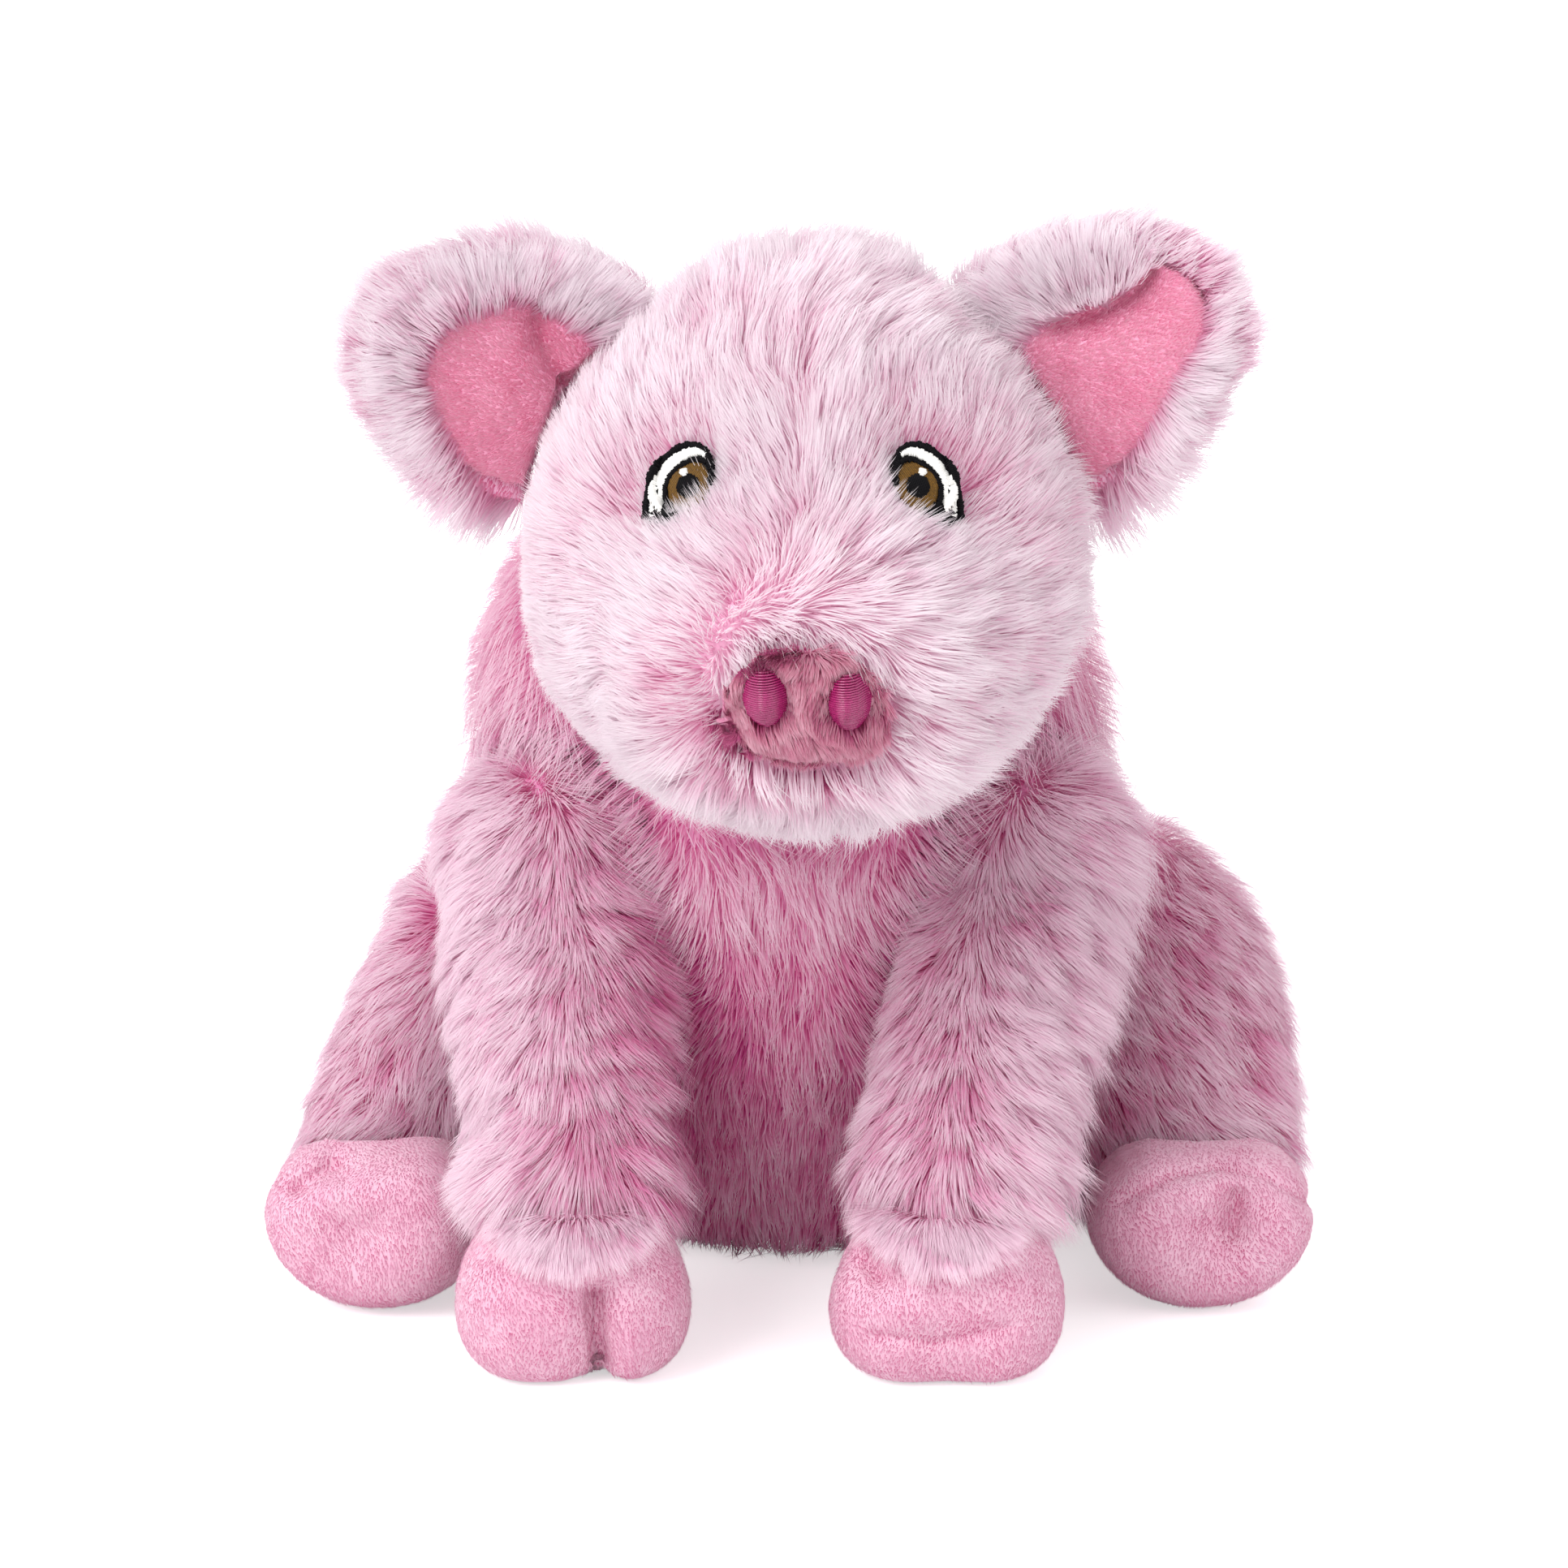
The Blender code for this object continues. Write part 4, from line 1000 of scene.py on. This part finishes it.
class PIG_OT_head(bpy.types.Operator):
    """Dresses the head: the pile spreads from the snout over brow, cheeks and chin"""

    bl_idname = "pig.head"
    bl_label = "Head"

    def execute(self, context):
        pile = context.scene.pig_pile
        skin = rounded("head_cloth", "head", MATERIALS["head_backing"], voxel=0.0022, smoothing=8, inset=pile.depth)
        places, ups = surface_of(skin)
        away = places - np.array(SNOUT_MIDDLE)
        reach = np.linalg.norm(away, axis=1)
        aside, above = away[:, 0], away[:, 2]
        brow = rise(places[:, 2], BROW_HEIGHT, 0.015) * (ups[:, 1] < 0.2)
        part = np.sign(aside) * np.exp(-np.abs(aside) / 0.016) * brow * 0.28
        lean, near = toward(places, ups, ["torso"])
        way = away / reach[:, None] - np.array([0, 0, 0.22]) + drift(places, 0.040, 53) * 0.20 + lean * 1.5
        way[:, 0] += part
        oval_reach = np.hypot(aside / SNOUT_HALVES[0], above / SNOUT_HALVES[1])
        front = places[:, 1] < SNOUT_MIDDLE.y + 0.016
        rim = front * fall(oval_reach, 1.9, 0.7)
        hang = front * fall(oval_reach, 1.85, 0.75) * np.clip((above + 0.001) / 0.008, 0, 1)
        hang *= np.clip((aside + 0.0175) / 0.006, 0, 1)
        way = flat(way, ups) * (1 - hang)[:, None] + flat(np.array([0.1, 0, -1.0]), ups) * hang[:, None]
        way *= (1 - 0.25 * rim)[:, None]
        upright = 1 - np.abs(1 - 2 * hang)
        way += flat(np.array([0.9, 0, 0]) + drift(places, 0.0055, 66) * 0.35, ups) * upright[:, None]
        spots = seen_at(places)
        cover = cover_of(places, ups, ["head", "snout_panel"])
        cover[front & (oval_reach < 0.97)] = 0
        seam = bell(off_path(spots, MOUTH), 10) * (front & (above < 0.006))
        muzzle = fall(reach, 0.050, 0.018)
        chin = muzzle * np.clip(-above / 0.008, 0, 1)
        length = 0.92 + 0.30 * chin - 0.30 * rim * (1 - chin) * (1 - hang) + 0.05 * hang - 0.60 * seam + 0.3 * near
        stand = 1.0 + 0.20 * muzzle + 0.15 * upright - 0.4 * seam + 1.1 * rise(places[:, 2], CROWN_HEIGHT, 0.008)
        gather = 0.85 + 0.5 * muzzle + 1.3 * chin
        # Painted shade: the pile is painted deeper in folds, little on the muzzle, along the mouth's seam, partly as
        # its crease's shade, and on the side facing away from the key lamp
        hidden = shaded(places, ups) * (1 - 0.85 * muzzle)
        pale = 0.92 + 0.16 * chin - FOLD_SHADE * hidden + 0.16 * hang + 0.20 * upright
        pale += drift(places, 0.030, 54)[:, 0] * 0.10 - 0.8 * seam - 0.10 * np.clip(ups[:, 0], 0, 1)
        cheek_spot = off_path(spots, CHEEK_SPOT)
        pale -= 0.42 * bell(cheek_spot, 17) * faces_camera(ups)
        length -= 0.25 * bell(cheek_spot, 17) * faces_camera(ups)
        for side in SIDES:
            patch, ahead = eye_spots(side, places)
            close = (np.abs(ahead) < 16) & (np.hypot(*patch.T) < 22)
            edge = off_path(patch, (*EYE_PAD, EYE_PAD[0]))
            cover[close & inside(patch, EYE_PAD) & (edge > 0.5)] = 0
            under = np.clip((-0.71 * patch[:, 1] + 0.5 * patch[:, 0] - 2.6) / 2.0, 0, 1)
            short = np.clip(0.42 + edge / 9, 0.42, 1) * (1 - under) + np.clip((edge + 3.4) / 10, 0.3, 1) * under
            length[close] *= short[close]
            stand[close] *= (1 + 0.55 * under * np.clip(1.6 - edge / 4, 0, 1))[close]
        grow_seam_and_shade_nap("chin", skin, places, ups, spots, MOUTH)
        comb(skin, way, length, cover, pale, stand, gather)
        dress(
            skin, "head", "pink_pile", ["head"], layers=3, fill=0.8, most=48000, strands="head_pile",
            lift=0.42, lock_pull=0.05, tuft_pull=0.17,
        )
        return {"FINISHED"}


class PIG_OT_eyes(bpy.types.Operator):
    """Stitches the eyes: border, white, ring, iris, pupil and glint, thread by thread"""

    bl_idname = "pig.eyes"
    bl_label = "Eyes"

    def execute(self, context):
        for side, sign in SIDES.items():
            middle, facing = EYES[side]
            place = over([f"eye_outline_{side}", "head"], middle, facing, -sign)
            ground = pad(f"eye_ground_{side}", place, EYE_PAD, MATERIALS["black"])
            wear(ground, "head")
            black = satin_band(place, EYE_BORDER, (1.1, 1.1, 0.9), seed=71, base=0.00020)
            black += satin_band(place, EYE_RING, (0.8, 0.8, 0.7), seed=72, base=0.00034)
            white = satin_band(place, EYE_WHITE, (2.7, 2.4, 1.0), seed=73, base=0.00020, spacing=0.00026)
            fields = (
                ("outline", black, "black"),
                ("white", white, "white"),
                ("iris", satin_field(place, IRIS, angle=62, seed=74, base=0.00012), "brown"),
                ("pupil", satin_field(place, PUPIL, angle=80, seed=75, base=0.00034), "black"),
                ("glint", satin_field(place, GLINT, angle=20, seed=76, base=0.00058), "white"),
            )
            for field, stitches, thread in fields:
                piece = lay_threads(f"eye_{field}_{side}_stitches", stitches, MATERIALS[thread])
                wear(piece, "head", [f"eye_{field}_{side}"])
        return {"FINISHED"}


def nostril_middle(side):
    low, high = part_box(f"nostril_{side}")
    aside, high_up = NOSTRIL_SHIFTS[side]
    return (low + high) / 2 + Vector((aside * MILLIMETRE, 0, high_up * MILLIMETRE))


class PIG_OT_nostrils(bpy.types.Operator):
    """Stitches the nostrils as small domes of level satin stitches"""

    bl_idname = "pig.nostrils"
    bl_label = "Nostrils"

    def execute(self, context):
        facing = Vector((0, -1, 0))
        for side in SIDES:
            node = f"nostril_{side}"
            place = over([node, "snout_panel"], nostril_middle(side), facing)

            def dome(a, b):
                return NOSTRIL_RISE * max(0.0, 1 - (a / NOSTRIL_HALVES[0]) ** 2 - (b / NOSTRIL_HALVES[1]) ** 2)

            def low_dome(a, b):
                return dome(a, b) * 0.9

            field = ((0.0, 0.0), NOSTRIL_HALVES)
            ground = pad(f"{node}_ground", place, oval(field), MATERIALS["deep_magenta"], low_dome)
            wear(ground, "head")
            stitches = satin_field(place, field, angle=4, seed=77, base=0.00010, dome=dome, spacing=0.00038)
            piece = lay_threads(f"{node}_stitches", stitches, MATERIALS["magenta"])
            wear(piece, "head", [node])
        return {"FINISHED"}


def dress_ear_back(side, root):
    """Long pile on the ear's back and round its bare lining, with a nap where the lining's edge shows."""
    node, ear = f"ear_back_{side}", f"ear_{side}"
    skin = rounded(f"{ear}_cloth", node, MATERIALS["head_backing"], voxel=0.0014, smoothing=4, inset=0.0010)
    places, ups = surface_of(skin)
    way = flat(places - root + drift(places, 0.03, 55) * 0.008, ups)
    cover = cover_of(places, ups, [node, f"ear_lining_{side}"])
    bare = faces_camera(ups) & inside(seen_at(places), LINING_OUTLINES[side])
    cover[bare] = 0
    tip = fall(places[:, 2], root[2], 0.014)
    way = flat(way + tip[:, None] * np.array([0.3 * SIDES[side], 0, -2.0]), ups)
    pale = 0.84 + drift(places, 0.02, 56)[:, 0] * 0.08
    comb(skin, way, 0.76 + 0.75 * tip, cover, pale, gather=1.6)
    dress(skin, ear, "pink_pile", [node], layers=1, fill=0.4, most=16000, strands="head_pile")
    comb(skin, way, cover=bare.astype(float))
    dress_short(
        f"{ear}_edge_nap", skin, ear, "rose_short_plush", "lining_nap", 2500, length=0.0020, width=0.00026,
        lock_spacing=0.008, seed=23,
    )


def dress_ear_lining(side, root):
    """Draws the lining's fold in and dresses it, in long pile on its rim and a short nap in its middle."""
    node, ear = f"ear_lining_{side}", f"ear_{side}"
    skin = rounded(f"{node}_plush", node, MATERIALS["lining"], voxel=0.0012, smoothing=4, inset=0.0)
    draw_in(skin, EAR_FOLDS[side], depth=0.0030, width=8)
    places, ups = surface_of(skin)
    spots, front = seen_at(places), faces_camera(ups)
    bare = inside(spots, LINING_OUTLINES[side])
    away = spots - spots[bare].mean(axis=0)
    outward = flat(np.stack((away[:, 0], np.zeros(len(away)), -away[:, 1]), axis=1), ups)
    comb(skin, outward, cover=(front & ~bare).astype(float), pale=0.88)
    rim = grow(
        f"{ear}_rim_pile", skin, MATERIALS["head_pile"], density=strands_for(skin, 7000), length=0.0085,
        width=0.00025, seed=22, lift=0.50,
    )
    wear(rim, ear)
    # Painted shade: the lining is painted deeper towards the ear's root by the head and along its fold
    pale = 0.30 + 0.60 * np.clip(np.abs(places[:, 0] - root[0]) / 0.020, 0, 1)
    pale -= 0.4 * bell(off_path(spots, EAR_FOLDS[side]), 16)
    comb(skin, flat(places - root, ups), cover=(front & bare).astype(float), pale=pale)
    dress_short(f"{node}_nap", skin, ear, "rose_short_plush", "lining_nap", 9000, length=0.0015, seed=21)
    wear(skin, ear, [node])


class PIG_OT_ears(bpy.types.Operator):
    """Dresses the ears: long pile on the back and the rolled rim, and a smooth lining in front"""

    bl_idname = "pig.ears"
    bl_label = "Ears"

    def execute(self, context):
        for side, sign in SIDES.items():
            low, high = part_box(f"ear_back_{side}")
            root = np.array([low.x if sign > 0 else high.x, (low.y + high.y) / 2, low.z + 0.016])
            dress_ear_back(side, root)
            dress_ear_lining(side, root)
        return {"FINISHED"}


def dress_front_leg(side, depth):
    """The leg in long pile, parted down its front, with painted shade on its inner side."""
    node, sign = f"front_leg_{side}", SIDES[side]
    skin = rounded(f"{node}_cloth", node, MATERIALS["backing"], voxel=0.0022, smoothing=10, inset=depth)
    places, ups = surface_of(skin)
    low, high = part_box(node)
    top, foot = LEG_PARTING[side]
    share = rise(places[:, 2], low.z, high.z - low.z)
    aside = places[:, 0] - (foot + (top - foot) * share)
    front = ups[:, 1] < 0.1
    spread = np.clip(aside / 0.014, -1, 1) * np.where(front, 1.0, 0.3)
    way = np.stack((spread * 0.95, np.zeros(len(places)), -np.ones(len(places))), axis=1)
    lean, near = toward(places, ups, ["torso"])
    way = flat(way + drift(places, 0.035, 57) * 0.18 + lean * 1.2, ups)
    parting = bell(aside, 0.005) * front * rise(share, 0.1, 0.2)
    cover = cover_of(places, ups, [node, f"front_hoof_{side}"])
    pale = 1.0 + 0.06 * rise(share, 0.6, 0.2) - 0.26 * parting + drift(places, 0.024, 58)[:, 0] * 0.07
    # Painted shade: the pile is painted deeper in folds and on the leg's inner side, most on the right leg, whose
    # inner side faces away from the key lamp
    pale -= FOLD_SHADE * shaded(places, ups)
    pale -= 0.85 * np.clip(-aside * sign / 0.014, 0, 1) * (0.4 if side == "left" else 1.0)
    outer = np.clip(ups[:, 0] * sign, 0, 1) * rise(places[:, 2], ELBOW_HEIGHT, 0.02)
    hem = bell(places[:, 2] - LEG_HEM_HEIGHT, 0.007)
    calm = 1.0 - 0.35 * rise(share, 0.55, 0.3)
    length = 1.0 - 0.18 * parting + 0.40 * hem
    comb(skin, way, length, cover, pale + 0.25 * near, 1.0 + 0.5 * outer + 0.10 * hem, calm)
    dress(skin, node, "pink_pile", [node], layers=1, fill=0.7, most=58000)


class PIG_OT_front_legs(bpy.types.Operator):
    """Dresses the front legs: the pile parts down the front and falls to both sides"""

    bl_idname = "pig.front_legs"
    bl_label = "Front legs"

    def execute(self, context):
        for side in SIDES:
            dress_front_leg(side, context.scene.pig_pile.depth)
        return {"FINISHED"}


class PIG_OT_hind_legs(bpy.types.Operator):
    """Dresses the hind legs: the pile falls forward from the hip over the haunch"""

    bl_idname = "pig.hind_legs"
    bl_label = "Hind legs"

    def execute(self, context):
        pile = context.scene.pig_pile
        for side, sign in SIDES.items():
            node = f"hind_leg_{side}"
            skin = rounded(f"{node}_cloth", node, MATERIALS["backing"], voxel=0.0026, smoothing=10, inset=pile.depth)
            places, ups = surface_of(skin)
            lean, near = toward(places, ups, ["torso"])
            way = flat(np.array([0.55 * sign, -0.2, -0.8]) + drift(places, 0.035, 59) * 0.20 + lean * 1.6, ups)
            cover = cover_of(places, ups, [node, f"hind_hoof_{side}"])
            cover[places[:, 2] < HIND_LEG_CLEARANCE] = 0
            # Painted shade: the left leg, on the side away from the key lamp, is painted a little deeper, and both
            # are painted deeper in folds
            pale = (0.90 if side == "left" else 1.0) + drift(places, 0.024, 60)[:, 0] * 0.12
            pale -= 0.40 * shaded(places, ups)
            comb(skin, way, 1.0 + 0.15 * near, cover, pale, 1.0 + 0.5 * near)
            dress(skin, node, "pink_pile", [node], layers=1, fill=0.7, most=54000)
        return {"FINISHED"}


def sew_hem(skin, node, leg):
    """The leg's long pile hanging over the top of its front hoof, lowest at the middle of its front."""
    places, ups = surface_of(skin)
    low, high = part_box(node)
    aside = (places[:, 0] - (low.x + high.x) / 2) / 0.013
    hem = HEM_HEIGHT - HEM_DIP * bell(aside, 1) * (ups[:, 1] < 0)
    way = flat(np.stack((aside * 0.5, np.full(len(places), -0.2), -np.ones(len(places))), axis=1), ups)
    pale = 0.92 + drift(places, 0.024, 58)[:, 0] * 0.07
    comb(skin, way, 0.95, rise(places[:, 2], hem, 0.002), pale, stand=0.55, gather=1.3)
    fringe = grow(
        f"{node}_hem_pile", skin, MATERIALS["pile"], density=strands_for(skin, 6000), length=0.0105,
        width=0.00025, seed=33,
    )
    wear(fringe, leg)


def dress_hoof(end, side):
    """Draws the hoof in at its stitches and seams and dresses it in short plush."""
    node, leg = f"{end}_hoof_{side}", f"{end}_leg_{side}"
    skin = rounded(f"{node}_plush", node, MATERIALS["plush"], voxel=0.0009, smoothing=9, inset=0.0004)
    for path, depth, width in HOOF_SEAMS[node]:
        draw_in(skin, path, depth, width)
    places, ups = surface_of(skin)
    cover = cover_of(places, ups, [node])
    cover[places[:, 2] < HOOF_CLEARANCE] = 0
    spots = seen_at(places)
    # Painted shade: the plush is painted deeper along its drawn-in stitches and seams where they face the camera
    crease = np.max([bell(off_path(spots, path), width) for path, _, width in HOOF_SEAMS[node]], axis=0)
    pale = 0.60 + drift(places, 0.008, 64)[:, 0] * 0.06 - 0.5 * crease * faces_camera(ups)
    way = flat(np.array([0, -0.4, -1.0]) + drift(places, 0.02, 61) * 0.25, ups)
    comb(skin, way, cover=cover, pale=pale)
    dress_short(f"{node}_nap", skin, leg, "pale_short_plush", "nap", 13000, length=0.0012, lift=0.35, seed=31)
    if end == "front":
        sew_hem(skin, node, leg)
    wear(skin, leg, [node])


class PIG_OT_hooves(bpy.types.Operator):
    """Dresses the four hooves in short plush, drawn into toes by their stitches and seams"""

    bl_idname = "pig.hooves"
    bl_label = "Hooves"

    def execute(self, context):
        for side in SIDES:
            for end in ("front", "hind"):
                dress_hoof(end, side)
        return {"FINISHED"}


class PIG_OT_snout(bpy.types.Operator):
    """Dresses the snout panel in short plush"""

    bl_idname = "pig.snout"
    bl_label = "Snout"

    def execute(self, context):
        skin = rounded("snout_plush", "snout_panel", MATERIALS["snout"], voxel=0.0009, smoothing=4, inset=0.0002)
        fold = [SNOUT_SPOT + (np.array(spot) - SNOUT_SPOT) * 0.90 for spot in MOUTH]
        draw_in(skin, fold, depth=0.0026, width=8)
        places, ups = surface_of(skin)
        way = flat(DOWN + drift(places, 0.012, 62) * 0.4, ups)
        spots = seen_at(places)
        seam = bell(off_path(spots, fold), 8)
        above_seam = bell(off_path(spots + np.array((0, 16)), fold), 16)
        hollow = bell(off_path(spots, HOLLOW), 22)
        cover = (ups[:, 1] < 0.2).astype(float)
        length = 1.0 - 0.55 * np.maximum(seam, above_seam)
        for side in SIDES:
            gap = (places - np.array(nostril_middle(side))) / MILLIMETRE
            reach = np.hypot(gap[:, 0] / NOSTRIL_HALVES[0], gap[:, 2] / NOSTRIL_HALVES[1])
            cover[reach < 0.95] = 0
            length *= np.where(gap[:, 2] > -2, np.clip((reach - 0.75) / 0.9, 0.3, 1), 1)
        grow_seam_and_shade_nap("snout", skin, places, ups, spots, fold)
        # Painted shade: the nap is painted deeper in the hollow over the snout, and along the mouth's seam, partly
        # the seam's colour and partly its crease's shade
        pale = 0.60 + drift(places, 0.005, 65)[:, 0] * 0.20 - 0.7 * seam - 0.5 * hollow
        comb(skin, way, length, cover, pale, gather=0.8)
        dress_short(
            "snout_nap", skin, "head", "pale_short_plush", "snout_nap", 12000, length=0.0044, width=0.00023,
            lock_pull=0.03, tuft_spacing=0.0013, tuft_pull=0.22, lift=0.50, steps=3, seed=41,
        )
        wear(skin, "head", ["snout_panel"])
        return {"FINISHED"}


class PIG_OT_tail(bpy.types.Operator):
    """Dresses the tail in short plush and the seat panel and pouch in their cloths"""

    bl_idname = "pig.tail"
    bl_label = "Tail and seat"

    def execute(self, context):
        skin = rounded("tail_plush", "tail", MATERIALS["plush"], voxel=0.0011, smoothing=4, inset=0.0002)
        places, ups = surface_of(skin)
        way = flat(np.array([0, 0.6, -0.8]) + drift(places, 0.02, 63) * 0.3, ups)
        comb(skin, way, cover=cover_of(places, ups, ["tail"]), pale=0.45)
        dress_short("tail_nap", skin, "tail", "pale_short_plush", "nap", 8000, length=0.0022, seed=43)
        wear(skin, "tail", ["tail"])
        for node, material in (("seat_panel", "seat"), ("pellet_pouch", "cotton")):
            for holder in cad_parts[node].material_slots:
                holder.material = MATERIALS[material]
        return {"FINISHED"}


class PIG_OT_stage(bpy.types.Operator):
    """Makes the pale floor, the soft studio lamps and the camera"""

    bl_idname = "pig.stage"
    bl_label = "Stage"

    def execute(self, context):
        scene = context.scene
        mesh = bpy.data.meshes.new("floor")
        mesh.from_pydata([(-6, -6, 0), (6, -6, 0), (6, 6, 0), (-6, 6, 0)], [], [(0, 1, 2, 3)])
        floor = show(bpy.data.objects.new("floor", mesh))
        floor.location.z = -0.0002
        paint, tree, surface = new_material("pale_floor", 0.9, 0, 0.1)
        surface.inputs["Base Color"].default_value = linear("#FAFAFA")
        surface.inputs["Emission Color"].default_value = linear("#FFFFFF")
        glow = maths(tree, "MULTIPLY", first(tree, "ShaderNodeLightPath"), FLOOR_GLOW)
        tree.links.new(glow, surface.inputs["Emission Strength"])
        mesh.materials.append(paint)
        world = bpy.data.worlds.new("studio")
        world.use_nodes = True
        tree = world.node_tree
        back = tree.nodes["Background"]
        back.inputs["Color"].default_value = linear("#FFFFFF")
        mixed = {0: first(tree, "ShaderNodeLightPath"), 2: WORLD_LIGHT, 3: WORLD_SEEN}
        tree.links.new(first(tree, "ShaderNodeMix", mixed, {"data_type": "FLOAT"}), back.inputs["Strength"])
        scene.world = world
        for name, place, size, power in LAMPS:
            lamp = bpy.data.lights.new(name, "AREA")
            lamp.size = size
            lamp.energy = power
            holder = show(bpy.data.objects.new(name, lamp))
            holder.location = place
            holder.rotation_euler = (LAMP_TARGET - Vector(place)).to_track_quat("-Z", "Y").to_euler()
        lens = bpy.data.cameras.new("camera")
        lens.lens = CAMERA_LENS_MM
        lens.sensor_width = CAMERA_SENSOR_MM
        half = PICTURE_SIDE / 2
        lens.shift_x = (half - PICTURE_MIDDLE[0]) / PICTURE_SIDE
        lens.shift_y = (PICTURE_MIDDLE[1] - half) / PICTURE_SIDE
        camera = show(bpy.data.objects.new("camera", lens))
        lift = math.radians(CAMERA_ELEVATION_DEG)
        away = Vector((0, -math.cos(lift), math.sin(lift))) * CAMERA_DISTANCE
        camera.location = CAMERA_TARGET + away
        camera.rotation_euler = (-away).to_track_quat("-Z", "Y").to_euler()
        scene.camera = camera
        scene.view_settings.view_transform = "Standard"
        return {"FINISHED"}


OPERATORS = (
    PIG_OT_torso,
    PIG_OT_head,
    PIG_OT_eyes,
    PIG_OT_nostrils,
    PIG_OT_ears,
    PIG_OT_front_legs,
    PIG_OT_hind_legs,
    PIG_OT_hooves,
    PIG_OT_snout,
    PIG_OT_tail,
    PIG_OT_stage,
)


class PIG_PT_panel(bpy.types.Panel):
    """Lists the pieces of the plush pig"""

    bl_idname = "PIG_PT_panel"
    bl_label = "Plush Pig"
    bl_space_type = "VIEW_3D"
    bl_region_type = "UI"
    bl_category = "Plush Pig"

    def draw(self, context):
        for name in PigPile.__annotations__:
            self.layout.prop(context.scene.pig_pile, name)
        for operator in OPERATORS:
            self.layout.operator(operator.bl_idname)


def register():
    for kind in (PigPile, *OPERATORS, PIG_PT_panel):
        bpy.utils.register_class(kind)
    bpy.types.Scene.pig_pile = PointerProperty(type=PigPile)


def unregister():
    del bpy.types.Scene.pig_pile
    for kind in reversed((PigPile, *OPERATORS, PIG_PT_panel)):
        bpy.utils.unregister_class(kind)


def main():
    register()
    for operator in OPERATORS:
        group, name = operator.bl_idname.split(".")
        getattr(getattr(bpy.ops, group), name)()


if __name__ == "__main__":
    main()
